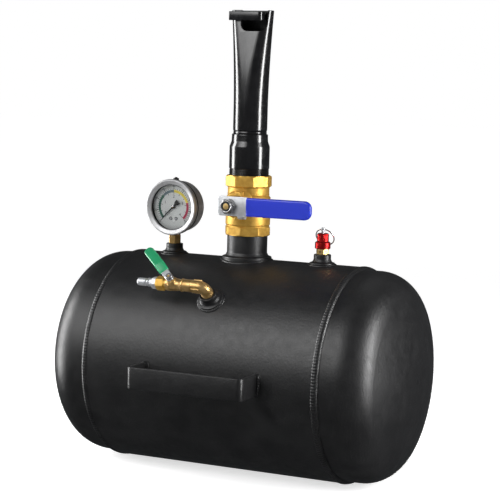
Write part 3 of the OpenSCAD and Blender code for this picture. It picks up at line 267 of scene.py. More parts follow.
@dataclass(frozen=True)
class GlossEnamel(Finish):
    """Glossy black enamel that follows the metal's small waves."""

    dark: Colour = (0.004, 0.004, 0.0045)
    light: Colour = (0.008, 0.008, 0.0085)

    def shade(self, graph: Graph) -> None:
        """Draws a deep black with a clear coat, long waves and fine dust marks."""
        graph.colour_by(graph.ramp(graph.noise(12 * MM, 3), 0.35, 0.7, self.dark, self.light))
        graph.roughness_by(graph.spread(graph.noise(5 * MM, 3), 0.35, 0.75, 0.17, 0.25))
        graph.set(Coat_Weight=0.25, Coat_Roughness=0.12)
        graph.bump(graph.noise(7 * MM, 2, (1, 1, 0.35)), 0.05 * MM, 0.6)
        graph.bump(graph.noise(1.1 * MM, 1), 0.008 * MM, 0.5)


@dataclass(frozen=True)
class Brass(Finish):
    """Brass, forged or machined: its stain, grain and gloss."""

    bright: Colour = (0.60, 0.36, 0.070)
    stain: Colour = (0.50, 0.28, 0.048)
    gloss_low: float = 0.40
    gloss_high: float = 0.52
    grain: float = 0.9
    grain_depth: float = 0.014
    metal: float = 0.68

    def shade(self, graph: Graph) -> None:
        """Draws metal with darker stains, uneven gloss and a fine grain."""
        graph.colour_by(graph.ramp(graph.noise(6 * MM, 5), 0.38, 0.62, self.stain, self.bright))
        graph.roughness_by(graph.spread(graph.noise(2.5 * MM, 4), 0.3, 0.7, self.gloss_low, self.gloss_high))
        graph.set(Metallic=self.metal)
        graph.bump(graph.noise(self.grain * MM, 2), self.grain_depth * MM, 0.6)
        graph.bump(graph.noise(5 * MM, 2), self.grain_depth * 3 * MM, 0.4)


@dataclass(frozen=True)
class BrightSteel(Finish):
    """Plated or stainless steel with fine scratches along one direction."""

    bright: Colour = (0.60, 0.61, 0.63)
    dull: Colour = (0.50, 0.51, 0.53)
    gloss_low: float = 0.38
    gloss_high: float = 0.50
    brush: tuple[float, float, float] = (1, 1, 1)
    brush_depth: float = 0.004
    metal: float = 0.7

    def shade(self, graph: Graph) -> None:
        """Draws bright metal with cloudy plating and brushed marks."""
        graph.colour_by(graph.ramp(graph.noise(5 * MM, 4), 0.35, 0.65, self.dull, self.bright))
        graph.roughness_by(graph.spread(graph.noise(3 * MM, 4), 0.3, 0.7, self.gloss_low, self.gloss_high))
        graph.set(Metallic=self.metal)
        graph.bump(graph.noise(1.2 * MM, 2, self.brush), self.brush_depth * MM, 0.6)


@dataclass(frozen=True)
class DippedVinyl(Finish):
    """Soft vinyl that was dipped on: saturated, slightly wavy, with a dull gloss."""

    deep: Colour = (0.003, 0.008, 0.16)
    light: Colour = (0.005, 0.013, 0.22)

    def shade(self, graph: Graph) -> None:
        """Draws a strong colour with soft waves and tiny pits."""
        graph.colour_by(graph.ramp(graph.noise(9 * MM, 4), 0.35, 0.68, self.deep, self.light))
        graph.roughness_by(graph.spread(graph.noise(4 * MM, 3), 0.3, 0.7, 0.34, 0.46))
        graph.set(Coat_Weight=0.05, Coat_Roughness=0.2)
        graph.bump(graph.noise(7 * MM, 2), 0.12 * MM, 0.5)
        graph.bump(graph.noise(0.9 * MM, 1), 0.008 * MM, 0.4)


@dataclass(frozen=True)
class Moulded(Finish):
    """A plain coloured solid with a light grain, such as anodised metal, rubber, plastic or enamel."""

    dark: Colour = (0.5, 0.5, 0.5)
    light: Colour = (0.6, 0.6, 0.6)
    gloss_low: float = 0.3
    gloss_high: float = 0.4
    metal: float = 0.0
    coat: float = 0.0
    grain: float = 0.6
    grain_depth: float = 0.015

    def shade(self, graph: Graph) -> None:
        """Draws the colour with cloudy tone, uneven gloss and grain."""
        graph.colour_by(graph.ramp(graph.noise(4 * MM, 4), 0.35, 0.68, self.dark, self.light))
        graph.roughness_by(graph.spread(graph.noise(2 * MM, 3), 0.3, 0.7, self.gloss_low, self.gloss_high))
        graph.set(Metallic=self.metal, Coat_Weight=self.coat, Coat_Roughness=0.08)
        graph.bump(graph.noise(self.grain * MM, 2), self.grain_depth * MM, 0.5)


@dataclass(frozen=True)
class LensGlass(Finish):
    """Clear window glass: mostly seen through, with a light reflection and faint smears."""

    def shade(self, graph: Graph) -> None:
        """Draws a thin clear sheet whose gloss changes a little with smears."""
        graph.set(Base_Color=(0.01, 0.012, 0.012), Alpha=0.10, IOR=2.4)
        graph.roughness_by(graph.spread(graph.noise(14 * MM, 3), 0.4, 0.8, 0.02, 0.10))
        graph.material.surface_render_method = "BLENDED"


POWDER = PowderCoat("satin_powder_coat", "satin_black")
POWDER_WELD = PowderCoat("powder_coat_over_weld", "satin_black", sheen_low=0.34, sheen_high=0.46)
ENAMEL = GlossEnamel("gloss_enamel", "gloss_black")
BRASS = Brass("forged_brass", "brass")
BRASS_MACHINED = Brass("machined_brass", "brass", bright=(0.60, 0.42, 0.17), stain=(0.50, 0.33, 0.12),
                       gloss_low=0.30, gloss_high=0.42, grain=0.6, grain_depth=0.004)
BRASS_WARM = Brass("cast_brass", "brass", bright=(0.62, 0.41, 0.17), stain=(0.42, 0.26, 0.09),
                   gloss_low=0.28, gloss_high=0.42, grain_depth=0.006, metal=0.82)
ZINC = BrightSteel("zinc_plate", "zinc_steel")
NUT_STEEL = BrightSteel("nut_steel", "zinc_steel", bright=(0.46, 0.46, 0.46), dull=(0.34, 0.34, 0.35),
                        gloss_low=0.22, gloss_high=0.34, metal=0.9)
STAINLESS = BrightSteel("brushed_stainless", "stainless", bright=(0.44, 0.44, 0.45), dull=(0.34, 0.34, 0.35),
                        gloss_low=0.42, gloss_high=0.54, brush=(0.15, 3, 0.15), brush_depth=0.010, metal=0.45)
BEZEL_STEEL = BrightSteel("polished_bezel", "stainless", bright=(0.52, 0.52, 0.53), dull=(0.45, 0.45, 0.46),
                          gloss_low=0.40, gloss_high=0.48, brush_depth=0.003, metal=0.6)
CHROME = BrightSteel("chrome", "chromed", bright=(0.84, 0.85, 0.86), dull=(0.76, 0.77, 0.79),
                     gloss_low=0.08, gloss_high=0.16, brush_depth=0.002, metal=1.0)
BLUE_VINYL = DippedVinyl("blue_vinyl", "blue_vinyl")
GREEN_VINYL = DippedVinyl("green_vinyl", "green_vinyl", deep=(0.024, 0.085, 0.045),
                          light=(0.034, 0.115, 0.062))
RED = Moulded("red_anodised", "red_anodised", dark=(0.62, 0.012, 0.008), light=(0.78, 0.020, 0.014),
              gloss_low=0.34, gloss_high=0.44, metal=0.0, coat=0.05)
PTFE = Moulded("sealing_plastic", "ptfe", dark=(0.76, 0.74, 0.68), light=(0.86, 0.85, 0.80))
RUBBER = Moulded("black_rubber", "black_rubber", dark=(0.008, 0.008, 0.008), light=(0.016, 0.016, 0.016),
                 gloss_low=0.50, gloss_high=0.65, grain_depth=0.03)
GLASS = LensGlass("window_glass", "lens_glass")
# Dial: white enamel drawn as a light grey; the grey is painted shade from the glass and bezel over it, not
# the dial's own colour.
DIAL_WITH_PAINTED_SHADE = Moulded("dial_enamel", "dial_enamel", dark=(0.60, 0.61, 0.60), light=(0.68, 0.69, 0.68),
               gloss_low=0.42, gloss_high=0.52, grain_depth=0.004)
NEEDLE_BLACK = Moulded("needle_black", "needle_black", dark=(0.010, 0.010, 0.011),
                       light=(0.020, 0.020, 0.021), gloss_low=0.30, gloss_high=0.42, grain_depth=0.004)


def print_ink(name: str, colour: Colour) -> Moulded:
    """An ink printed on the dial.

    Args:
        name: the finish's name.
        colour: the ink's colour.

    Returns:
        The finish.
    """
    faded = tuple(min(1.0, channel * 1.25 + 0.01) for channel in colour)
    return Moulded(name, "dial_enamel", dark=colour, light=faded, gloss_low=0.4, gloss_high=0.5,
                   grain_depth=0.003)


class Ink(Enum):
    """The dial's inks."""

    BLACK = print_ink("dial_ink_black", (0.02, 0.02, 0.02))
    GREEN = print_ink("dial_ink_green", (0.02, 0.085, 0.06))
    GREY = print_ink("dial_ink_grey", (0.10, 0.14, 0.16))
    YELLOW = print_ink("dial_ink_yellow", (0.62, 0.50, 0.06))
    RED = print_ink("dial_ink_red", (0.36, 0.015, 0.06))


# ---------------------------------------------------------------- outlines


def rounded_outline(corners: Sequence[tuple[float, float, float]], steps: int = 6,
                    closed: bool = True) -> list[Point2]:
    """An outline whose corners are rounded by true arcs.

    Args:
        corners: each corner as x, y and its radius.
        steps: segments in each arc.
        closed: whether the outline closes on itself; an open one keeps its two ends.

    Returns:
        The outline's points.
    """
    count = len(corners)
    points: list[Point2] = []
    for i, (x, y, radius) in enumerate(corners):
        at = Vector((x, y))
        if radius <= 0 or (not closed and i in (0, count - 1)):
            points.append((x, y))
            continue
        back = Vector(corners[i - 1][:2]) - at
        ahead = Vector(corners[(i + 1) % count][:2]) - at
        to_back, to_ahead = back.normalized(), ahead.normalized()
        half = to_back.angle(to_ahead) / 2
        if half > math.radians(89.5):
            points.append((x, y))
            continue
        tangent = min(radius / math.tan(half), 0.49 * back.length, 0.49 * ahead.length)
        fitted = tangent * math.tan(half)
        centre = at + (to_back + to_ahead).normalized() * (fitted / math.sin(half))
        first = at + to_back * tangent - centre
        last = at + to_ahead * tangent - centre
        turn = first.angle_signed(last)
        start = math.atan2(first.y, first.x)
        for step in range(steps + 1):
            angle = start - turn * step / steps
            points.append((centre.x + fitted * math.cos(angle), centre.y + fitted * math.sin(angle)))
    return points


def rectangle(width: float, height: float, radius: float, steps: int = 5) -> list[Point2]:
    """A rectangle round the origin with rounded corners.

    Args:
        width: its size along x.
        height: its size along y.
        radius: the corners' radius.
        steps: segments in each corner.

    Returns:
        The outline's points.
    """
    w, h = width / 2, height / 2
    return rounded_outline([(-w, -h, radius), (w, -h, radius), (w, h, radius), (-w, h, radius)], steps)


def circle_points(radius: float, count: int) -> list[Point2]:
    """A circle round the origin.

    Args:
        radius: its radius.
        count: the number of points.

    Returns:
        The outline's points.
    """
    return [(radius * math.cos(math.tau * i / count), radius * math.sin(math.tau * i / count))
            for i in range(count)]


def in_metres(outline: Sequence[Point2]) -> list[Point2]:
    """An outline in millimetres, turned into metres."""
    return [(x * MM, y * MM) for x, y in outline]


def inset(outline: Sequence[Point2], depth: float) -> list[Point2]:
    """A closed outline moved inwards.

    Args:
        outline: points that run anticlockwise.
        depth: how far to move it.

    Returns:
        As many points, moved.
    """
    moved: list[Point2] = []
    count = len(outline)
    for i, point in enumerate(outline):
        back = (Vector(point) - Vector(outline[i - 1])).normalized()
        ahead = (Vector(outline[(i + 1) % count]) - Vector(point)).normalized()
        normal = Vector((-back.y - ahead.y, back.x + ahead.x)).normalized()
        reach = depth / max(0.4, normal.dot(Vector((-ahead.y, ahead.x))))
        moved.append((point[0] + normal.x * reach, point[1] + normal.y * reach))
    return moved


# ---------------------------------------------------------------- meshes


def frame_on(origin: Vector, z_axis: Vector, x_axis: Vector) -> Matrix:
    """A frame with a given origin and directions.

    Args:
        origin: where the frame is.
        z_axis: its Z direction.
        x_axis: a direction near its X.

    Returns:
        The frame as a matrix.
    """
    z = z_axis.normalized()
    x = (x_axis - z * x_axis.dot(z)).normalized()
    return Matrix.Translation(origin) @ Matrix((x, z.cross(x), z)).transposed().to_4x4()


def facing_front(origin: Vector) -> Matrix:
    """A frame whose Z points to the front and whose X points to the right."""
    return frame_on(origin, -AXIS_Y, AXIS_X)


def make_piece(name: str, points: Sequence[Vector], faces: Sequence[Sequence[int]],
               sharp: float = 32.0) -> Piece:
    """A mesh object with outward faces, smooth except at sharp edges.

    Args:
        name: the object's name.
        points: its vertices.
        faces: vertex numbers of each face.
        sharp: the angle in degrees above which an edge stays sharp.

    Returns:
        The object.
    """
    mesh = bpy.data.meshes.new(name)
    mesh.from_pydata([tuple(p) for p in points], [], [tuple(f) for f in faces])
    piece = bpy.data.objects.new(name, mesh)
    bpy.context.scene.collection.objects.link(piece)
    tidy(piece, sharp)
    return piece


def tidy(piece: Piece, sharp: float = 32.0) -> None:
    """Merges doubled points, turns faces outwards and sets the shading.

    Args:
        piece: the object.
        sharp: the angle in degrees above which an edge stays sharp.
    """
    work = bmesh.new()
    work.from_mesh(piece.data)
    bmesh.ops.remove_doubles(work, verts=work.verts, dist=MERGE_DISTANCE)
    bmesh.ops.dissolve_degenerate(work, edges=work.edges, dist=MERGE_DISTANCE)
    bmesh.ops.recalc_face_normals(work, faces=work.faces)
    work.to_mesh(piece.data)
    work.free()
    for polygon in piece.data.polygons:
        polygon.use_smooth = True
    piece.data.set_sharp_from_angle(angle=math.radians(sharp))


def loft(name: str, rings: Sequence[Sequence[Vector]], loop: bool = False, sharp: float = 32.0) -> Piece:
    """A closed solid through rings of points.

    Args:
        name: the object's name.
        rings: rings with the same number of points; a ring of one point is a pole.
        loop: whether the last ring joins the first, as in a hollow turned part.
        sharp: the angle in degrees above which an edge stays sharp.

    Returns:
        The object.
    """
    points: list[Vector] = []
    starts: list[int] = []
    for ring in rings:
        starts.append(len(points))
        points.extend(ring)
    faces: list[tuple[int, ...]] = []
    pairs = [(i, i + 1) for i in range(len(rings) - 1)]
    if loop:
        pairs.append((len(rings) - 1, 0))
    for a, b in pairs:
        count = max(len(rings[a]), len(rings[b]))
        for k in range(count):
            n = (k + 1) % count
            low = [starts[a]] if len(rings[a]) == 1 else [starts[a] + k, starts[a] + n]
            high = [starts[b]] if len(rings[b]) == 1 else [starts[b] + n, starts[b] + k]
            faces.append((*low, *high))
    if not loop:
        for i in (0, len(rings) - 1):
            if len(rings[i]) > 2:
                faces.append(tuple(range(starts[i], starts[i] + len(rings[i]))))
    return make_piece(name, points, faces, sharp)


@dataclass(frozen=True)
class Flats:
    """Flats cut round a turned part, as on a hexagon."""

    width: float
    sides: int
    turn: float = 0.0

    def limit(self, angle: float) -> float:
        """The radius that the flats leave.

        Args:
            angle: the direction round the axis, in radians.

        Returns:
            The radius.
        """
        step = math.tau / self.sides
        return self.width / 2 / math.cos((angle - self.turn) % step - step / 2)


@dataclass(frozen=True)
class Station:
    """One corner of a turned part's outline: radius, height, the corner's rounding, and any flats there."""

    r: float
    z: float
    edge: float = 0.0
    flats: Flats | None = None


def turned(name: str, frame: Matrix, profile: Sequence[tuple], sides: int = 96, arc_steps: int = 4,
           sharp: float = 32.0) -> Piece:
    """A turned part. It is solid if its outline starts and ends on the axis, and hollow otherwise.

    Args:
        name: the object's name.
        frame: where the axis is; the corners' heights run along its Z.
        profile: the outline's corners, each as the values of a Station.
        sides: points round the axis.
        arc_steps: segments in each rounded corner.
        sharp: the angle in degrees above which an edge stays sharp.

    Returns:
        The object.
    """
    stations = [Station(*corner) for corner in profile]
    solid = stations[0].r == 0 and stations[-1].r == 0
    count = len(stations)
    outline: list[Station] = []
    for i, station in enumerate(stations):
        if station.edge <= 0 or (solid and i in (0, count - 1)):
            outline.append(station)
            continue
        around = [stations[i - 1], station, stations[(i + 1) % count]]
        arc = rounded_outline([(s.r, s.z, s.edge) for s in around], arc_steps, closed=False)[1:-1]
        outline.extend(Station(r, z, 0, station.flats) for r, z in arc)
    turn = next((s.flats.turn for s in stations if s.flats), 0.0)
    rings = []
    for station in outline:
        if station.r <= 0:
            rings.append([frame @ Vector((0, 0, station.z * MM))])
            continue
        ring = []
        for k in range(sides):
            angle = turn + math.tau * k / sides
            r = min(station.r, station.flats.limit(angle)) if station.flats else station.r
            ring.append(frame @ (Vector((r * math.cos(angle), r * math.sin(angle), station.z)) * MM))
        rings.append(ring)
    return loft(name, rings, loop=not solid, sharp=sharp)


def slab(name: str, frame: Matrix, outline: Sequence[Point2], thick: float, edge: float,
         steps: int = 4, sharp: float = 32.0) -> Piece:
    """A plate of some outline with soft edges, standing on its frame's z = 0.

    Args:
        name: the object's name.
        frame: where the plate lies.
        outline: anticlockwise points in the frame's x and y.
        thick: its thickness.
        edge: the edges' radius.
        steps: segments in each rounded edge.
        sharp: the angle in degrees above which an edge stays sharp.

    Returns:
        The object.
    """
    levels = []
    for step in range(steps + 1):
        angle = math.pi / 2 * step / steps
        levels.append((edge * (1 - math.sin(angle)), edge * (1 - math.cos(angle))))
    levels += [(depth, thick - rise) for depth, rise in reversed(levels)]
    rings = [[frame @ (Vector((x, y, rise)) * MM) for x, y in (inset(outline, depth) if depth else outline)]
             for depth, rise in levels]
    return loft(name, rings, sharp=sharp)


def sweep(name: str, path: Sequence[Vector], section: Sequence[Point2] | Callable[[int], Sequence[Point2]],
          up: Vector | Sequence[Vector], loop: bool = False, sharp: float = 32.0) -> Piece:
    """A section carried along a path.

    Args:
        name: the object's name.
        path: the path's points.
        section: points across and up, or a function that gives them for each point of the path.
        up: the direction that the section's y follows, for the whole path or for each of its points.
        loop: whether the path closes on itself.
        sharp: the angle in degrees above which an edge stays sharp.

    Returns:
        The object.
    """
    rings = []
    last = len(path) - 1
    for i, point in enumerate(path):
        before = path[i - 1] if i > 0 or loop else point
        after = path[i + 1] if i < last else (path[0] if loop else point)
        along = (after - before).normalized()
        lift = up if isinstance(up, Vector) else up[i]
        side = along.cross(lift).normalized()
        lift = side.cross(along)
        shape = section(i) if callable(section) else section
        rings.append([point + side * x + lift * y for x, y in shape])
    return loft(name, rings, loop=loop, sharp=sharp)


def apply_modifiers(piece: Piece) -> None:
    """Turns an object's modifiers into its mesh."""
    graph = bpy.context.evaluated_depsgraph_get()
    graph.update()
    mesh = bpy.data.meshes.new_from_object(piece.evaluated_get(graph))
    piece.modifiers.clear()
    piece.data = mesh


def cut(target: Piece, tool: Piece) -> None:
    """Cuts one solid with another, and removes the tool.

    Args:
        target: the solid that stays.
        tool: the solid that is used up.
    """
    modifier = target.modifiers.new("cut", "BOOLEAN")
    modifier.operation = "DIFFERENCE"
    modifier.solver = "EXACT"
    modifier.object = tool
    apply_modifiers(target)
    bpy.data.objects.remove(tool)


def soften(piece: Piece, width: float, angle: float = 35.0, segments: int = 2, sharp: float = 32.0) -> None:
    """Rounds a piece's sharp edges.

    Args:
        piece: the object.
        width: the rounding's width in metres.
        angle: edges sharper than this many degrees are rounded.
        segments: segments across each rounding.
        sharp: the angle in degrees above which an edge stays sharp in the shading.
    """
    modifier = piece.modifiers.new("soften", "BEVEL")
    modifier.width = width
    modifier.segments = segments
    modifier.limit_method = "ANGLE"
    modifier.angle_limit = math.radians(angle)
    apply_modifiers(piece)
    tidy(piece, sharp)


def joined(pieces: Sequence[Piece]) -> Piece:
    """Several objects as one, under the first one's name.

    Args:
        pieces: the objects.

    Returns:
        The first object, which now holds them all.
    """
    work = bmesh.new()
    for piece in pieces:
        work.from_mesh(piece.data)
    work.to_mesh(pieces[0].data)
    work.free()
    for piece in pieces[1:]:
        bpy.data.objects.remove(piece)
    tidy(pieces[0])
    return pieces[0]


@dataclass(frozen=True)
class Bead:
    """A weld bead: a half-round run with the ripples that the torch leaves."""

    radius: float
    pitch: float
    ripple: float
    lump: float = 0.0
    lag: float = 0.9

    def run(self, name: str, path: Sequence[Vector], normals: Sequence[Vector]) -> Piece:
        """Lays the bead along a closed path.

        Args:
            name: the object's name.
            path: the path's points.
            normals: the surface's outward direction at each point.

        Returns:
            The object.
        """
        travelled = [0.0]
        for before, after in zip(path, path[1:]):
            travelled.append(travelled[-1] + (after - before).length)
        total = travelled[-1] + (path[0] - path[-1]).length
        ripples = max(1, round(total / self.pitch))

        def section(i: int) -> list[Point2]:
            """The bead's section at one point of the path."""
            lump = self.lump * noise.noise(path[i] / (self.radius * 3))
            points = []
            for k in range(13):
                angle = math.radians(-20 + 220 * k / 12)
                behind = self.lag * self.pitch * (1 - math.sin(angle))
                phase = math.pi * ripples * (travelled[i] + behind) / total
                r = self.radius - self.ripple * (1 - abs(math.sin(phase))) + lump
                points.append((r * math.cos(angle), r * math.sin(angle)))
            return points

        return sweep(name, path, section, normals, loop=True, sharp=80)


# ---------------------------------------------------------------- sub-assemblies


class Box:
    """The space that a CAD node takes at rest."""

    def __init__(self, node: str) -> None:
        """Measures the node.

        Args:
            node: the node's name.
        """
        self.low, self.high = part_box(node)
        self.centre = (self.low + self.high) / 2
        self.size = self.high - self.low

    def foot(self) -> Matrix:
        """A frame at the bottom of the box, on the plane y = 0."""
        return Matrix.Translation(Vector((self.centre.x, 0, self.low.z)))


@dataclass
class Assembly:
    """What every sub-assembly shares: the frame, and the calls that put its pieces in it."""

    frame: dict

    def dress(self, finish: Finish, *nodes: str) -> None:
        """Gives CAD nodes their finish.

        Args:
            finish: the finish.
            nodes: the nodes' names.
        """
        for node in nodes:
            shown = self.frame["nodes"][node]
            if not shown.material_slots:
                shown.data.materials.append(None)
            for slot in shown.material_slots:
                slot.material = finish.material()
            log.info("%s: CAD shape, %s", node, finish.name)

    def add(self, piece: Piece, finish: Finish, *nodes: str, body: str = "") -> Piece:
        """Finishes a piece and lets it ride on its body.

        Args:
            piece: the object.
            finish: its finish.
            nodes: the CAD nodes that it stands for.
            body: the body that it rides on, if it stands for no node.

        Returns:
            The same object.
        """
        piece.data.materials.clear()
        piece.data.materials.append(finish.material())
        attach(piece, body or self.frame["nodes"][nodes[0]]["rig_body"])
        if nodes:
            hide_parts(*nodes)
        log.info("%s: %d faces, %s", piece.name, len(piece.data.polygons), finish.name)
        return piece


@dataclass
class Tank(Assembly):
    """The shell, its two heads, their seam welds, and the four welded ports."""

    seam_bead: Bead = Bead(5 * MM, 3.4 * MM, 0.45 * MM, 0.30 * MM)
    port_bead: Bead = Bead(2.0 * MM, 2.4 * MM, 0.20 * MM, 0.15 * MM)
    seam_steps: int = 1500
    port_steps: int = 480
    inlet_lean: float = math.radians(47)
    stub_r: float = 24.15
    stub_foot_r: float = 29.7
    stub_rise: float = 42.7
    stub_bore_r: float = 19.0
    bung_r: float = 10.2
    bung_foot_r: float = 15.0
    bung_rise: float = 12.0
    bung_bore_r: float = 6.6

    def build(self) -> None:
        """Makes and dresses every piece of the tank."""
        shell = Box("tank_shell")
        self.axis = Vector((0, 0, shell.centre.z))
        self.radius = shell.size.z / 2
        self.dress(POWDER, "tank_shell", "left_head", "right_head")
        self.seam("left_head_weld", shell.low.x - 1 * MM)
        self.seam("right_head_weld", shell.high.x + 1 * MM)
        gauge_x = Box("gauge_port").centre.x
        relief_x = Box("relief_port").centre.x
        inlet_x = Box("inlet_port").centre.x
        self.port("outlet_port", 0, 0, self.stub_r, self.stub_foot_r, self.stub_rise, self.stub_bore_r, 3.0)
        for node, x, lean in (("gauge_port", gauge_x, 0), ("relief_port", relief_x, 0),
                              ("inlet_port", inlet_x, self.inlet_lean)):
            self.port(node, x, lean, self.bung_r, self.bung_foot_r, self.bung_rise, self.bung_bore_r, 2.2)
        beads = [
            self.port_weld("port_welds", 0, 0, self.stub_foot_r),
            self.port_weld("gauge_port_weld", gauge_x, 0, self.bung_foot_r),
            self.port_weld("relief_port_weld", relief_x, 0, self.bung_foot_r),
            self.port_weld("inlet_port_weld", inlet_x, self.inlet_lean, self.bung_foot_r),
        ]
        self.add(joined(beads), POWDER_WELD, "port_welds")

    def seam(self, node: str, x: float) -> None:
        """The round weld between the shell and a head.

        Args:
            node: the weld's CAD node.
            x: the middle of the bead.
        """
        centre_r = Box(node).size.z / 2 - self.seam_bead.radius - self.seam_bead.lump
        angles = [math.tau * i / self.seam_steps for i in range(self.seam_steps)]
        normals = [Vector((0, math.cos(a), math.sin(a))) for a in angles]
        path = [Vector((x, 0, self.axis.z)) + n * centre_r for n in normals]
        self.add(self.seam_bead.run(node + "_bead", path, normals), POWDER_WELD, node)

    def leaned(self, lean: float) -> Matrix:
        """A turn round the tank's axis, from the top towards the front."""
        return Matrix.Translation(self.axis) @ Matrix.Rotation(lean, 4, "X") @ Matrix.Translation(-self.axis)

    def port(self, node: str, x: float, lean: float, stub_r: float, foot_r: float, rise: float,
             bore_r: float, rim: float) -> None:
        """A threaded stub on a flared foot.

        Args:
            node: the port's CAD node.
            x: where it is along the tank.
            lean: its angle from the top towards the front.
            stub_r: the stub's radius in millimetres.
            foot_r: the foot's radius.
            rise: its height above the tank.
            bore_r: its bore's radius.
            rim: the height of the foot's rim.
        """
        drop = self.radius / MM - math.sqrt((self.radius / MM) ** 2 - foot_r ** 2) + 0.8
        flare = foot_r - stub_r
        frame = self.leaned(lean) @ Matrix.Translation(Vector((x, 0, self.axis.z + self.radius)))
        shape = turned(node + "_turned", frame, [
            (bore_r, -drop, 0.1), (foot_r, -drop, 0.1), (foot_r, rim, 1.0),
            (foot_r - flare * 0.45, rim + 0.6, 0.5), (stub_r + flare * 0.28, rim + flare * 0.30, 0.5),
            (stub_r, rim + flare * 0.85, flare * 0.35), (stub_r, rise, 0.9),
            (bore_r, rise, 0.4)], arc_steps=6, sharp=40)
        self.add(shape, POWDER, node)

    def port_weld(self, name: str, x: float, lean: float, foot_r: float) -> Piece:
        """The weld round a port's foot, along the tank's curve.

        Args:
            name: the object's name.
            x: where the port is along the tank.
            lean: its angle from the top towards the front.
            foot_r: the foot's radius in millimetres.

        Returns:
            The bead.
        """
        r = foot_r * MM + 0.2 * MM
        path, normals = [], []
        turn = self.leaned(lean)
        for i in range(self.port_steps):
            angle = math.tau * i / self.port_steps
            y = r * math.sin(angle)
            out = Vector((0, y, math.sqrt(self.radius ** 2 - y * y))).normalized()
            point = Vector((x + r * math.cos(angle), 0, self.axis.z)) + out * (self.radius - 0.5 * MM)
            away = Vector((math.cos(angle), math.sin(angle), 0))
            path.append(turn @ point)
            normals.append((turn.to_3x3() @ (out + away * 0.6)).normalized())
        return self.port_bead.run(name, path, normals)


@dataclass
class CarryHandle(Assembly):
    """The bent flat bar on the front, and the welds that hold it."""

    bar_t: float = 4 * MM
    bend_r: float = 5 * MM
    edge: float = 0.7 * MM
    weld: Bead = Bead(3.0 * MM, 2.8 * MM, 0.4 * MM, 0.9 * MM)

    def build(self) -> None:
        """Makes the bar and its two welds."""
        bar = Box("carry_handle")
        tank = Box("tank_shell")
        tank_r = tank.size.z / 2
        half_h = bar.size.z / 2
        back_y = -math.sqrt(tank_r ** 2 - half_h ** 2) + 1.5 * MM
        left, right = bar.low.x + self.bar_t / 2, bar.high.x - self.bar_t / 2
        front = bar.low.y + self.bar_t / 2
        plan = rounded_outline([(left, back_y, 0), (left, front, self.bend_r), (right, front, self.bend_r),
                                (right, back_y, 0)], 10, closed=False)
        path = [Vector((x, y, bar.centre.z)) for x, y in plan]
        section = rectangle(self.bar_t, bar.size.z, self.edge, 3)
        self.add(sweep("carry_handle_bar", path, section, AXIS_Z, sharp=40), POWDER, "carry_handle")
        welds = [self.leg_weld(name, x, bar, tank_r)
                 for name, x in (("handle_welds_left", left), ("handle_welds_right", right))]
        self.add(joined(welds), POWDER_WELD, "handle_welds")

    def leg_weld(self, name: str, x: float, bar: Box, tank_r: float) -> Piece:
        """The weld round the foot of one leg.

        Args:
            name: the object's name.
            x: the leg's middle.
            bar: the space that the handle takes.
            tank_r: the tank's radius.

        Returns:
            The bead.
        """
        ring = rectangle(self.bar_t + 1.0 * MM, bar.size.z - 4 * MM, 2.2 * MM, 8)
        dense: list[Point2] = []
        for i, (x0, y0) in enumerate(ring):
            x1, y1 = ring[(i + 1) % len(ring)]
            parts = max(1, round(math.hypot(x1 - x0, y1 - y0) / (0.4 * MM)))
            dense += [(x0 + (x1 - x0) * k / parts, y0 + (y1 - y0) * k / parts) for k in range(parts)]
        path, normals = [], []
        for across, up in dense:
            out = Vector((0, -math.sqrt(tank_r ** 2 - up * up), up)).normalized()
            path.append(Vector((x + across, 0, bar.centre.z)) + out * (tank_r - 0.6 * MM))
            normals.append((out + Vector((across, 0, up)).normalized() * 0.5).normalized())
        return self.weld.run(name, path, normals)


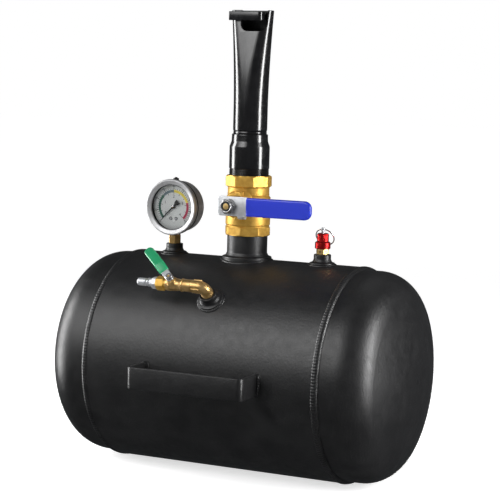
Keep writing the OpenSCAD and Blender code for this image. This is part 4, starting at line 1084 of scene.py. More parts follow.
@dataclass
class MainValve(Assembly):
    """The quick-dump ball valve between the tank and the barrel, with its lever."""

    lower: Flats = Flats(52, 8, math.radians(9))
    upper: Flats = Flats(52, 8, math.radians(36))
    lower_h: float = 10.8
    body_h: float = 47.5
    body_r: float = 26.7
    cap_r: float = 25.15
    cap_h: float = 10.2
    corner_r: float = 27.95
    boss_r: float = 14.5
    boss_out: float = 38.0
    plate_back: float = 47.5
    plate_t: float = 3.0

    def build(self) -> None:
        """Makes and dresses every piece of the valve."""
        body = Box("valve_body")
        cap = Box("valve_end_cap")
        self.base = Vector((body.centre.x, 0, body.low.z))
        self.joint = Vector((body.centre.x, 0, body.low.z + self.body_h * MM))
        self.top = cap.high.z
        ball = Box("valve_ball")
        self.stem = facing_front(Vector((ball.centre.x, 0, ball.centre.z)))
        self.body()
        self.end_cap()
        self.dress(CHROME, "valve_ball")
        self.dress(PTFE, "lower_seat", "upper_seat", "stem_packing")
        self.stem_piece()
        self.gland_nut()
        self.lever()
        self.sleeve()
        self.lock_nut()

    def body(self) -> None:
        """The forged body: a lower octagon, a round belly, and the stem's boss."""
        frame = Matrix.Translation(self.base)
        flats = self.lower
        belly = turned("valve_body_forging", frame, [
            (24.2, 0, 0.3), (26.3, 0, 0.4), (self.corner_r, 1.3, 0.4, flats),
            (self.corner_r, self.lower_h - 1.2, 0.4, flats), (25.7, self.lower_h + 0.2, 0.3),
            (25.7, self.lower_h + 0.9, 0.3), (self.body_r, self.lower_h + 2.3, 0.8),
            (self.body_r, self.body_h - 2.4, 1.0), (25.3, self.body_h - 0.5, 0.3), (25.1, self.body_h, 0.1),
            (24.1, self.body_h, 0.1), (24.1, self.body_h - 6, 0.1), (22.6, self.body_h - 6.2, 0.1),
            (22.6, 27.4, 0.1), (20.6, 27.2, 0.1), (20.6, 17.4, 0.1), (15.6, 17.2, 0.1), (15.6, 14.2, 0.1),
            (24.2, 14.0, 0.1)], sides=192)
        boss = turned("boss", self.stem, [
            (6.1, 22.2), (19.0, 22.2, 0.2), (15.6, 26.0, 2.5), (self.boss_r, 28.5, 3.0),
            (self.boss_r, self.boss_out, 0.9), (9.05, self.boss_out, 0.4), (9.05, 31.0),
            (6.1, 31.0)], sides=96)
        lugs = []
        for low, high in ((11.0, 16.5), (-16.5, -11.0)):
            middle = (low + high) / 2
            outline = [(x + 7.5, y + middle) for x, y in rectangle(6.0, high - low, 0.8, 3)]
            start = facing_front(self.stem @ Vector((0, 0, 33.0 * MM)))
            lugs.append(slab("lug", start, outline, 12.0, 0.7, steps=2))
        self.add(joined([belly, boss, *lugs]), BRASS, "valve_body")

    def end_cap(self) -> None:
        """The screwed end: a round collar and the upper octagon."""
        frame = Matrix.Translation(self.joint)
        flats = self.upper
        high = (self.top - self.joint.z) / MM
        cap = turned("valve_end_forging", frame, [
            (22.7, -5.8, 0.1), (23.9, -5.8, 0.1), (23.9, 0.05), (24.4, 0.05, 0.2), (self.cap_r, 1.1, 0.5),
            (self.cap_r, 2.2, 0.3), (24.85, 2.7, 0.2), (24.85, self.cap_h - 0.4, 0.3),
            (25.5, self.cap_h, 0.2, flats), (self.corner_r, self.cap_h + 1.3, 0.4, flats),
            (self.corner_r, high - 1.5, 0.4, flats), (25.9, high, 0.4, flats), (24.3, high, 0.3),
            (24.15, high - 9.5, 0.1), (20.6, high - 9.7, 0.1), (15.6, high - 10.2, 0.1), (15.6, 9.8, 0.1),
            (22.7, 9.4, 0.1)], sides=192)
        self.add(cap, BRASS, "valve_end_cap")

    def stem_piece(self) -> None:
        """The stem: its tang in the ball, its shank, and the threaded end with a smaller tip."""
        shank = turned("valve_stem_turned", self.stem, [
            (0, 22.1), (5.95, 22.1, 0.2), (5.95, 47.4, 0.2), (4.45, 47.6, 0.1), (4.45, 57.4, 0.2),
            (3.65, 57.8, 0.1), (3.65, 59.3, 0.4), (0, 59.42)])
        tang_frame = self.stem @ Matrix.Translation(Vector((0, 0, 18.6 * MM)))
        tang = slab("tang", tang_frame, rectangle(4.8, 11, 0.5, 2), 3.8, 0.3, steps=2)
        self.add(joined([shank, tang]), BRASS_MACHINED, "valve_stem")

    def gland_nut(self) -> None:
        """The hexagon that presses on the stem's packing."""
        flats = Flats(19, 6)
        nut = turned("gland_nut_turned", self.stem, [
            (6.1, 36.2), (8.9, 36.2), (8.9, 38.05), (10.6, 38.05, 0.2, flats), (10.6, 45.0, 0.3, flats),
            (9.2, 46.0, 0.2, flats), (6.1, 46.0, 0.2)])
        self.add(nut, BRASS_MACHINED, "gland_nut")

    def lever(self) -> None:
        """The plated lever: plate, blade inside the sleeve, and the tab that meets the stops."""
        outline = rounded_outline([
            (-14.6, -11.5, 3.2), (22.5, -11.5, 1.0), (25, -8.5, 1.0), (99, -8.5, 3.5),
            (99, 8.5, 3.5), (25, 8.5, 1.0), (22.5, 11.5, 1.0), (-14.6, 11.5, 3.2)])
        back = facing_front(self.stem @ Vector((0, 0, self.plate_back * MM)))
        plate = slab("valve_lever_plate", back, outline, self.plate_t, 0.55, steps=3)
        bend = rounded_outline([(-9.0, 49.0, 0), (-13.5, 49.0, 1.9), (-13.5, 42.6, 0)], 8, closed=False)
        path = [self.stem @ (Vector((15, up, out)) * MM) for up, out in bend]
        section = in_metres(rectangle(2.9, 8.0, 0.5, 3))
        tab = sweep("tab", path, section, AXIS_X)
        self.add(joined([plate, tab]), ZINC, "valve_lever")

    def sleeve(self) -> None:
        """The dipped vinyl sleeve: a plate with soft edges and rounder corners at its outer end."""
        box = Box("lever_sleeve")
        length, height, thick = (box.size.x / MM, box.size.z / MM, box.size.y / MM)
        outline = rounded_outline([
            (0, -height / 2, 2.2), (length, -height / 2, 8.6), (length, height / 2, 8.6),
            (0, height / 2, 2.2)], 9)
        frame = facing_front(Vector((box.low.x, box.high.y, box.centre.z)))
        grip = slab("lever_sleeve_vinyl", frame, outline, thick, 2.3, steps=7, sharp=60)
        self.add(grip, BLUE_VINYL, "lever_sleeve")

    def lock_nut(self) -> None:
        """The lock nut: a chamfered hexagon, a round crown, and its dark insert."""
        box = Box("lever_nut")
        flats = Flats(17, 6, math.radians(8))
        face = facing_front(Vector((box.centre.x, box.high.y, box.centre.z)))
        high = box.size.y / MM
        nut = turned("lever_nut_turned", face, [
            (4.6, 0), (8.3, 0, 0.1, flats), (9.55, 0.7, 0.2, flats), (9.55, high - 3.6, 0.3, flats),
            (8.0, high - 2.6, 0.4, flats), (7.6, high - 2.4, 0.3), (7.35, high - 0.6, 0.6), (6.6, high, 0.5),
            (5.9, high - 0.3, 0.2), (5.8, high - 2.0, 0.1), (4.6, high - 2.1)], sides=96)
        self.add(nut, NUT_STEEL, "lever_nut")
        insert = turned("lever_nut_insert", face, [
            (3.75, high - 1.6), (5.85, high - 1.6), (5.85, high - 0.7, 0.2),
            (3.75, high - 0.5, 0.3)], sides=64)
        self.add(insert, RUBBER, body="main_lever")


@dataclass
class Barrel(Assembly):
    """The threaded adapter, its weld, the flattened tube and the hook that catches the rim."""

    outer_r: float = 24.15
    bore_r: float = 17.0
    thread_h: float = 7.4
    thread_pitch: float = 1.85
    thread_depth: float = 1.0
    neck_r: float = 21.6
    tube_od: float = 40.8
    wall: float = 2.2
    round_len: float = 27.0
    mouth_t: float = 19.0
    taper_power: float = 1.7
    rings: int = 44
    ring_points: int = 96
    notch_x: float = 6.5
    notch_w: float = 33.0
    notch_depth: float = 25.0
    notch_r: float = 9.0
    hook_t: float = 3.5

    def build(self) -> None:
        """Makes every piece of the barrel."""
        self.adapter()
        self.ring_weld()
        self.tube()
        self.hook()

    def adapter(self) -> None:
        """The pipe fitting that screws into the valve, with its male thread."""
        box = Box("barrel_adapter")
        frame = box.foot()
        hidden = 9.7
        high = box.size.z / MM
        start = hidden + self.thread_h
        profile = [
            (self.bore_r, 0, 0.3), (self.outer_r - 1, 0, 0.3), (self.outer_r - 0.6, hidden - 2.0, 0.2)]
        for i in range(4):
            z = hidden - 0.4 + i * self.thread_pitch
            profile += [
                (self.outer_r - self.thread_depth, z, 0.15),
                (self.outer_r - 0.1, z + self.thread_pitch / 2, 0.2)]
        profile += [
            (self.outer_r - self.thread_depth - 0.2, start - 0.6, 0.3), (self.outer_r - 0.9, start, 0.2),
            (self.outer_r - 0.15, start + 0.9, 0.5), (self.outer_r - 0.15, start + 27.0, 4.0),
            (self.neck_r + 0.2, start + 33.0, 3.0), (self.neck_r - 0.1, high - 3.0, 1.0),
            (self.neck_r, high - 0.1, 1.5), (self.bore_r, high, 0.3)]
        shape = turned("barrel_adapter_turned", frame, profile, sides=128, sharp=40)
        self.add(shape, ENAMEL, "barrel_adapter")

    def ring_weld(self) -> None:
        """The rolled joint between the adapter and the tube."""
        box = Box("barrel_weld")
        frame = box.foot()
        r = box.size.x / 2 / MM
        high = box.size.z / MM
        bead = turned("barrel_weld_bead", frame, [
            (18.3, 0, 0.2), (r - 1.2, 0, 0.4), (r - 0.8, high / 2, 1.0), (r - 1.2, high, 0.4),
            (18.3, high, 0.2)], sides=128, sharp=50)
        self.add(bead, ENAMEL, "barrel_weld")

    def outline(self, share: float, shrink: float) -> list[Point2]:
        """The tube's outline, which keeps its circumference as it flattens.

        Args:
            share: 0 where the tube is round and 1 at its mouth.
            shrink: how far the outline is moved inwards.

        Returns:
            The outline's points in millimetres.
        """
        thick = self.tube_od - (self.tube_od - self.mouth_t) * share ** self.taper_power
        flat = math.pi * (self.tube_od - thick) / 4
        r = thick / 2 - shrink
        points = []
        for k in range(self.ring_points):
            angle = math.tau * (k + 0.5) / self.ring_points
            shift = math.copysign(flat, math.cos(angle))
            points.append((r * math.cos(angle) + shift, r * math.sin(angle)))
        return points

    def tube(self) -> None:
        """The blast tube, pressed flat towards its notched mouth."""
        box = Box("barrel_tube")
        length = box.size.z / MM
        foot = [(0.05, 1.3), (0.4, 0.6), (1.2, 0.15)]
        levels = [2.4] + [self.round_len + (length - self.round_len) * i / self.rings
                          for i in range(self.rings + 1)]
        lip = 0.8
        levels[-1] = length - lip

        def ring(z: float, shrink: float) -> list[Vector]:
            """The outline at one height."""
            share = max(0.0, (z - self.round_len) / (length - self.round_len))
            return [Vector((box.centre.x + x * MM, y * MM, box.low.z + z * MM))
                    for x, y in self.outline(share, shrink)]

        rings = [ring(z, shrink) for z, shrink in foot] + [ring(z, 0) for z in levels]
        middle = self.wall / 2
        for step in range(1, 7):
            angle = math.pi * step / 6
            rings.append(ring(length - lip * (1 - math.sin(angle)), middle - middle * math.cos(angle)))
        rings += [ring(z, self.wall) for z in reversed(levels[:-1])] + [ring(0.05, self.wall)]
        tube = loft("barrel_tube_pressed", rings, loop=True, sharp=50)
        w, r = self.notch_w / 2, self.notch_r
        outline = rounded_outline([(-w, 0, r), (w, 0, r), (w, 60, 0), (-w, 60, 0)], 10)
        frame = facing_front(Vector((self.notch_x * MM, 0, box.high.z - self.notch_depth * MM)))
        cut(tube, slab("notch", frame, outline, 40, 0.01, steps=1))
        soften(tube, 0.45 * MM, angle=55, sharp=50)
        self.add(tube, ENAMEL, "barrel_tube")

    def hook(self) -> None:
        """The bar that catches the wheel's rim, bent back into the mouth."""
        box = Box("rim_hook")
        half = self.hook_t / 2 * MM
        front = box.low.y + half
        plan = rounded_outline([
            (box.low.x, front, 0), (box.high.x - half, front, 3.2 * MM), (box.high.x - half, box.high.y, 0)],
            10, closed=False)
        path = [Vector((x, y, box.centre.z)) for x, y in plan]
        section = rectangle(self.hook_t * MM, box.size.z, 0.8 * MM, 4)
        bar = sweep("rim_hook_bar", path, section, AXIS_Z, sharp=40)
        wedge = rounded_outline([(-4, -4, 0), (4, -4, 0), (-4, 4, 0)], 1)
        corner = slab("corner", facing_front(Vector((box.low.x, 0, box.low.z))), wedge, 60, 0.01, steps=1)
        cut(bar, corner)
        soften(bar, 0.6 * MM, angle=40, segments=3, sharp=50)
        self.add(bar, ENAMEL, "rim_hook")


@dataclass
class Gauge(Assembly):
    """The glycerine gauge: case, bezel, window, dial, pointer, movement and socket."""

    case_r: float = 31.0
    case_back: float = 17.0
    bezel_r: float = 34.3
    bezel_front: float = 13.0
    window_r: float = 27.5
    lens_front: float = 11.5
    dial_front: float = 5.0
    ink: float = 0.06
    zero: float = 225.0
    span: float = 270.0
    divisions: int = 8
    division_value: int = 20
    band_inner: float = 17.7
    band_outer: float = 20.8

    def build(self) -> None:
        """Makes and dresses every piece of the gauge."""
        bezel = Box("gauge_bezel")
        self.centre = Vector((bezel.centre.x, 0, bezel.centre.z))
        self.face = facing_front(self.centre)
        self.case()
        self.bezel()
        self.window()
        # The dial's light grey carries painted shade from the glass and bezel.
        self.dress(DIAL_WITH_PAINTED_SHADE, "gauge_dial")
        self.bands()
        self.marks()
        self.dial_screws()
        self.needle()
        self.dress(BRASS_MACHINED, "pinion_shaft", "sector_gear", "movement_link", "movement_plates")
        self.dress(BRASS, "bourdon_tube")
        self.socket()
        self.fill_plug()

    def case(self) -> None:
        """The drawn steel case, with a pressed step in its back."""
        shell = turned("gauge_case_drawn", self.face, [
            (self.case_r - 1.5, 7.7), (self.case_r, 7.7), (self.case_r, -self.case_back, 2.2),
            (24, -self.case_back, 0.8), (23, -self.case_back + 0.9, 0.8), (9, -self.case_back + 0.9, 0.8),
            (8, -self.case_back, 0.8), (0.4, -self.case_back, 0.1), (0.4, -self.case_back + 2.4, 0.1),
            (self.case_r - 1.5, -self.case_back + 2.4, 1.5)], sides=144, sharp=40)
        self.add(shell, STAINLESS, "gauge_case")

    def bezel(self) -> None:
        """The rolled bezel and the dark seal behind it."""
        front, r = self.bezel_front, self.bezel_r
        ring = turned("gauge_bezel_rolled", self.face, [
            (self.case_r + 0.1, 5.2), (r - 1.3, 5.2, 0.4), (r - 0.5, 6.2, 0.7), (r, front - 2.2, 1.4),
            (r - 1.0, front, 0.9), (r - 2.2, front - 0.1, 1.2), (self.window_r + 0.9, front - 1.5, 0.7),
            (self.window_r + 0.1, front - 2.3, 0.3), (self.window_r + 0.1, self.lens_front - 1.6),
            (self.case_r - 0.2, self.lens_front - 1.6), (self.case_r - 0.2, 7.9),
            (self.case_r + 0.1, 7.9)], sides=160, arc_steps=6, sharp=40)
        self.add(ring, BEZEL_STEEL, "gauge_bezel")
        seal = turned("bezel_back_seal", self.face, [
            (self.case_r + 0.02, 2.2, 0.2), (r - 1.0, 2.4, 0.6), (r - 0.4, 5.15, 0.4),
            (self.case_r + 0.02, 5.15)], sides=144)
        self.add(seal, RUBBER, body="tank")

    def window(self) -> None:
        """The glass and its gasket, whose dark edge shows inside the bezel."""
        lens = turned("gauge_lens_glass", self.face, [
            (0, 8.2), (self.case_r - 0.35, 8.2, 0.2), (self.case_r - 0.35, 9.6, 0.2), (0, 9.6)], sides=128)
        self.add(lens, GLASS, "gauge_lens")
        gasket = turned("lens_gasket_ring", self.face, [
            (self.window_r + 0.1, 7.7, 0.2), (self.case_r - 0.4, 7.7), (self.case_r - 0.4, 8.18),
            (self.window_r + 0.1, 8.18, 0.2)], sides=128)
        edge = turned("lens_edge_seal", self.face, [
            (self.window_r - 0.5, 9.62, 0.1), (self.window_r + 0.05, 9.62), (self.window_r + 0.05, 10.8, 0.2),
            (self.window_r - 0.5, 10.3, 0.2)], sides=128)
        self.add(edge, RUBBER, body="tank")
        self.add(gasket, RUBBER, "lens_gasket")
        liner = turned("dial_rim_liner", self.face, [
            (28.0, self.dial_front + 0.02, 0.1), (29.2, self.dial_front + 0.02, 0.1), (29.2, 7.65, 0.1),
            (28.0, 7.65, 0.1)], sides=128)
        self.add(liner, RUBBER, body="tank")

    def polar(self, radius: float, degrees: float) -> Point2:
        """A point on the dial."""
        return (radius * math.cos(math.radians(degrees)), radius * math.sin(math.radians(degrees)))

    def printed(self, name: str, outlines: Sequence[Sequence[Point2]], ink: Ink, lift: float = 0.0) -> None:
        """Prints flat shapes on the dial.

        Args:
            name: the object's name.
            outlines: each shape's outline.
            ink: the ink.
            lift: the height of the ink above the dial.
        """
        frame = facing_front(self.face @ Vector((0, 0, (self.dial_front + 0.01 + lift) * MM)))
        shapes = [slab(name if i == 0 else "mark", frame, outline, self.ink, 0.005, steps=1)
                  for i, outline in enumerate(outlines)]
        self.add(joined(shapes), ink.value, body="tank")

    def bands(self) -> None:
        """The coloured bands: safe, caution and danger."""
        top = self.zero - self.span * 0.5
        for name, ink, start, end in (("dial_band_green", Ink.GREEN, self.zero, top + 46),
                                      ("dial_band_grey", Ink.GREY, top + 45.5, top),
                                      ("dial_band_yellow", Ink.YELLOW, top - 0.5, top - 72),
                                      ("dial_band_red", Ink.RED, top - 72.5, self.zero - self.span)):
            steps = 40
            angles = [start + (end - start) * i / steps for i in range(steps + 1)]
            outer = [self.polar(self.band_outer, a) for a in angles]
            inner = [self.polar(self.band_inner, a) for a in reversed(angles)]
            self.printed(name, [list(reversed(outer + inner))], ink)

    def tick(self, degrees: float, inner: float, outer: float, width: float) -> list[Point2]:
        """A scale mark's outline."""
        along = Vector(self.polar(1, degrees))
        side = Vector((-along.y, along.x)) * width / 2
        corners = (along * inner - side, along * outer - side, along * outer + side, along * inner + side)
        return [(c.x, c.y) for c in corners]

    def marks(self) -> None:
        """The scale marks and the plain numbers beside them."""
        ticks = []
        fine = self.divisions * 5
        for i in range(fine + 1):
            degrees = self.zero - self.span * i / fine
            major = i % 5 == 0
            ticks.append(self.tick(degrees, 21.0, 24.0 if major else 23.0, 0.85 if major else 0.50))
            if i % 4 == 0:
                ticks.append(self.tick(degrees, 15.4 if i % 8 == 0 else 16.2, 17.8, 0.60))
        self.printed("dial_scale", ticks, Ink.BLACK, lift=0.02)
        numbers = []
        for i in range(self.divisions + 1):
            degrees = self.zero - self.span * i / self.divisions
            numbers.append(self.numeral(str(i * self.division_value), self.polar(25.5, degrees), 2.9))
            if i % 2 == 0 and i:
                numbers.append(self.numeral(str(i // 2), self.polar(12.8, degrees), 3.9))
        numbers.append(self.numeral("0", self.polar(13.2, self.zero - 9), 3.9))
        self.add(joined(numbers), Ink.BLACK.value, body="tank")

    def numeral(self, digits: str, at: Point2, size: float) -> Piece:
        """A number on the dial as a thin solid.

        Args:
            digits: the number.
            at: its middle on the dial.
            size: its height in millimetres.

        Returns:
            The object.
        """
        curve = bpy.data.curves.new("dial_numbers", "FONT")
        curve.body = digits
        curve.size = size * 1.35 * MM
        curve.align_x = "CENTER"
        curve.align_y = "CENTER"
        curve.extrude = self.ink / 2 * MM
        curve.resolution_u = 3
        text = bpy.data.objects.new("dial_numbers", curve)
        bpy.context.scene.collection.objects.link(text)
        bpy.context.view_layer.update()
        mesh = bpy.data.meshes.new_from_object(text.evaluated_get(bpy.context.evaluated_depsgraph_get()))
        bpy.data.objects.remove(text)
        lift = self.dial_front + self.ink / 2 + 0.01
        mesh.transform(facing_front(self.face @ (Vector((at[0], at[1], lift)) * MM)))
        piece = bpy.data.objects.new("dial_numbers", mesh)
        bpy.context.scene.collection.objects.link(piece)
        return piece

    def dial_screws(self) -> None:
        """The two slotted screws that hold the dial."""
        pieces = []
        box = Box("dial_screws")
        for i, x in enumerate((box.low.x + 1.5 * MM, box.high.x - 1.5 * MM)):
            at = Vector((x, -self.dial_front * MM, box.centre.z))
            frame = facing_front(at)
            head = turned("dial_screw_heads" if i == 0 else "head", frame, [
                (0, -3.4), (0.7, -3.4), (0.7, 0.01), (1.55, 0.01, 0.05), (1.55, 0.35, 0.2), (1.1, 0.68, 0.2),
                (0, 0.7)], sides=32)
            slot_frame = frame_on(at + Vector((0, -0.4 * MM, 0)), -AXIS_Y, Vector((1, 0, 0.4 - i)))
            cut(head, slab("slot", slot_frame, rectangle(4, 0.42, 0.05, 1), 1.0, 0.01, steps=1))
            pieces.append(head)
        self.add(joined(pieces), ZINC, "dial_screws")
        washers = [turned("dial_screw_washers" if i == 0 else "washer",
                          facing_front(Vector((x, -self.dial_front * MM, box.centre.z))), [
                              (1.6, 0.01), (2.1, 0.01), (2.1, 0.25, 0.1), (1.6, 0.3)],
                          sides=32)
                   for i, x in enumerate((box.low.x + 1.5 * MM, box.high.x - 1.5 * MM))]
        self.add(joined(washers), NEEDLE_BLACK, body="tank")

    def needle(self) -> None:
        """The pointer, with its flared tail and bright hub."""
        outline = [(20.5, -0.35), (20.5, 0.35), (0, 1.1), (-3.4, 1.2), (-6.2, 2.9), (-9.6, 3.3), (-10.6, 0.9),
                   (-9.4, 0.0), (-10.6, -0.9), (-9.6, -3.3), (-6.2, -2.9), (-3.4, -1.2), (0, -1.1)]
        turn = Matrix.Rotation(math.radians(self.zero), 4, "Z")
        frame = self.face @ Matrix.Translation(Vector((0, 0, 6.6 * MM))) @ turn
        blade = slab("gauge_needle_blade", frame, outline, 0.5, 0.1, steps=2)
        self.add(blade, NEEDLE_BLACK, "gauge_needle")
        hub = turned("gauge_needle_hub", self.face, [
            (0, 7.12), (1.75, 7.12, 0.1), (1.7, 7.6, 0.2), (0, 7.85)], sides=40)
        collar = turned("gauge_needle_collar", self.face, [
            (0, 6.1), (2.4, 6.1, 0.2), (2.4, 7.25, 0.2), (1.8, 7.3, 0.1), (1.78, 7.1), (0, 7.1)], sides=40)
        self.add(collar, NEEDLE_BLACK, body="pointer")
        self.add(hub, CHROME, body="pointer")

    def socket(self) -> None:
        """The brass socket: a chamfered hexagon, its neck, and the block inside the case."""
        box = Box("gauge_socket")
        port = Box("gauge_port")
        flats = Flats(14, 6)
        at = Vector((port.centre.x, 0, port.high.z))
        frame = Matrix.Translation(at)
        high = 11.0
        piece = turned("gauge_socket_turned", frame, [
            (0, -9.0), (6.0, -9.0, 0.4), (6.55, -8, 0.3), (6.55, -0.6, 0.2), (6.0, 0.0, 0.1),
            (6.9, 0.0, 0.1, flats), (7.85, 0.8, 0.25, flats), (7.85, high - 0.9, 0.25, flats),
            (6.7, high, 0.2, flats), (5.0, high, 0.2), (5.0, 18.6), (0, 18.6)], sides=96)
        middle = Vector((box.centre.x, 0, at.z + 18.2 * MM))
        block = slab("block", frame_on(middle, AXIS_Z, AXIS_X),
                     [(x, y + 4.4) for x, y in rectangle(12, 10.2, 0.6, 2)], 7.6, 0.5, steps=2)
        self.add(joined([piece, block]), BRASS_WARM, "gauge_socket")

    def fill_plug(self) -> None:
        """The rubber plug in the top of the case, with its little nipple."""
        box = Box("gauge_fill_plug")
        frame = box.foot()
        high = box.size.z / MM + 2.8
        plug = turned("gauge_fill_plug_rubber", frame, [
            (0, 0), (2.8, 0, 0.2), (2.8, 1.5), (3.6, 1.5, 0.3), (3.5, high - 1.3, 0.6),
            (1.7, high - 1.0, 0.3), (1.5, high, 0.5), (0, high)], sides=48)
        self.add(plug, RUBBER, "gauge_fill_plug")


@dataclass
class ReliefValve(Assembly):
    """The relief valve: brass body, red cap, plunger, spring and split pull ring."""

    hex_h: float = 6.7
    low_r: float = 9.2
    low_h: float = 8.2
    top_r: float = 6.95
    cap_h: float = 18.2
    stem_r: float = 2.2
    flutes: int = 14
    wire: float = 0.7
    ring_points: int = 96

    def build(self) -> None:
        """Makes and dresses every piece of the relief valve."""
        port = Box("relief_port")
        self.seat = Vector((port.centre.x, 0, port.high.z))
        self.dress(RUBBER, "relief_seal")
        self.dress(ZINC, "relief_spring")
        self.body_piece()
        self.cap()
        self.stem()
        self.pull_ring()

    def body_piece(self) -> None:
        """The hexagon with its vent hole."""
        flats = Flats(14, 6)
        frame = Matrix.Translation(self.seat)
        high = self.hex_h
        body = turned("relief_body_turned", frame, [
            (2.5, -9.0), (6.0, -9.0, 0.4), (6.55, -8.0, 0.2), (6.55, -0.5, 0.2), (6.0, 0, 0.1),
            (6.9, 0, 0.1, flats), (7.95, 0.9, 0.25, flats), (7.95, high - 0.9, 0.25, flats),
            (7.2, high, 0.1, flats), (7.2, high + 5.8, 0.2), (5.5, high + 5.8, 0.1), (5.5, 1.7, 0.1),
            (2.5, 1.6, 0.1)], sides=96)
        hole_frame = facing_front(self.seat + Vector((0, 0, 3.4 * MM)))
        hole = turned("vent", hole_frame, [(0, 4), (1.0, 4), (1.0, 12), (0, 12)],
                      sides=24)
        cut(body, hole)
        tidy(body)
        self.add(body, BRASS_MACHINED, "relief_body")

    def cap(self) -> None:
        """The red cap, with shallow flutes round its upper part."""
        frame = Matrix.Translation(self.seat + Vector((0, 0, self.hex_h * MM)))
        outline = rounded_outline([
            (7.35, 0, 0.2), (self.low_r - 0.5, 0, 0.3), (self.low_r, 0.6, 0.3),
            (self.low_r, self.low_h - 1.2, 0.6), (self.low_r - 0.9, self.low_h - 0.2, 0.4),
            (self.top_r, self.low_h + 0.5, 0.4),
            (self.top_r, self.cap_h - 1.0, 0.6), (self.top_r - 1.3, self.cap_h, 0.6),
            (self.stem_r + 0.25, self.cap_h, 0.2), (self.stem_r + 0.25, self.cap_h - 1.3, 0),
            (5.4, self.cap_h - 1.3, 0), (5.4, 6.1, 0), (7.35, 6.0, 0)], 5)
        rings = []
        for r, z in outline:
            ring = []
            for k in range(168):
                angle = math.tau * k / 168
                fluted = self.low_h + 1.0 < z < self.cap_h - 0.9 and r > self.top_r - 0.2
                dip = 0.42 * max(0.0, math.cos(self.flutes * angle)) ** 1.5 if fluted else 0.0
                across, along = (r - dip) * math.cos(angle), (r - dip) * math.sin(angle)
                ring.append(frame @ (Vector((across, along, z)) * MM))
            rings.append(ring)
        self.add(loft("relief_cap_fluted", rings, loop=True, sharp=50), RED, "relief_cap")

    def stem(self) -> None:
        """The plunger's stem with its domed, drilled end."""
        box = Box("relief_stem")
        frame = box.foot()
        high = box.size.z / MM
        stem = turned("relief_stem_turned", frame, [
            (0, 0), (4.9, 0, 0.2), (4.9, 1.6, 0.2), (self.stem_r, 1.6, 0.2), (self.stem_r, high, 1.9),
            (0, high)], sides=48, arc_steps=8)
        eye_z = self.eye_height()
        eye_frame = frame_on(Vector((box.centre.x - 4 * MM, 0, eye_z)), AXIS_X, AXIS_Y)
        eye = turned("eye", eye_frame, [(0, 0), (1.05, 0), (1.05, 8), (0, 8)],
                     sides=24)
        cut(stem, eye)
        soften(stem, 0.15 * MM, angle=50)
        self.add(stem, ZINC, "relief_stem")

    def eye_height(self) -> float:
        """The height of the hole that the pull ring passes through."""
        return Box("relief_stem").high.z - 2.1 * MM

    def pull_ring(self) -> None:
        """The split ring: two turns of flattened wire that lie on each other."""
        box = Box("pull_ring")
        mid_r = box.size.x / 2 - self.wire * MM
        eye = Vector((box.centre.x, 0, self.eye_height()))
        away = Vector((0, box.centre.y - eye.y, box.centre.z - eye.z)).normalized()
        centre = eye + away * mid_r
        normal = AXIS_X.cross(away).normalized()
        steps = self.ring_points * 2 - 6
        path = []
        for i in range(steps):
            angle = math.tau * i / self.ring_points
            lift = (i / (steps - 1) - 0.5) * self.wire * MM * 0.95
            path.append(centre + (AXIS_X * math.cos(angle) + away * math.sin(angle)) * mid_r + normal * lift)
        section = in_metres(rectangle(1.25, self.wire * 0.92, 0.3, 3))
        self.add(sweep("pull_ring_split", path, section, normal, sharp=50), CHROME, "pull_ring")


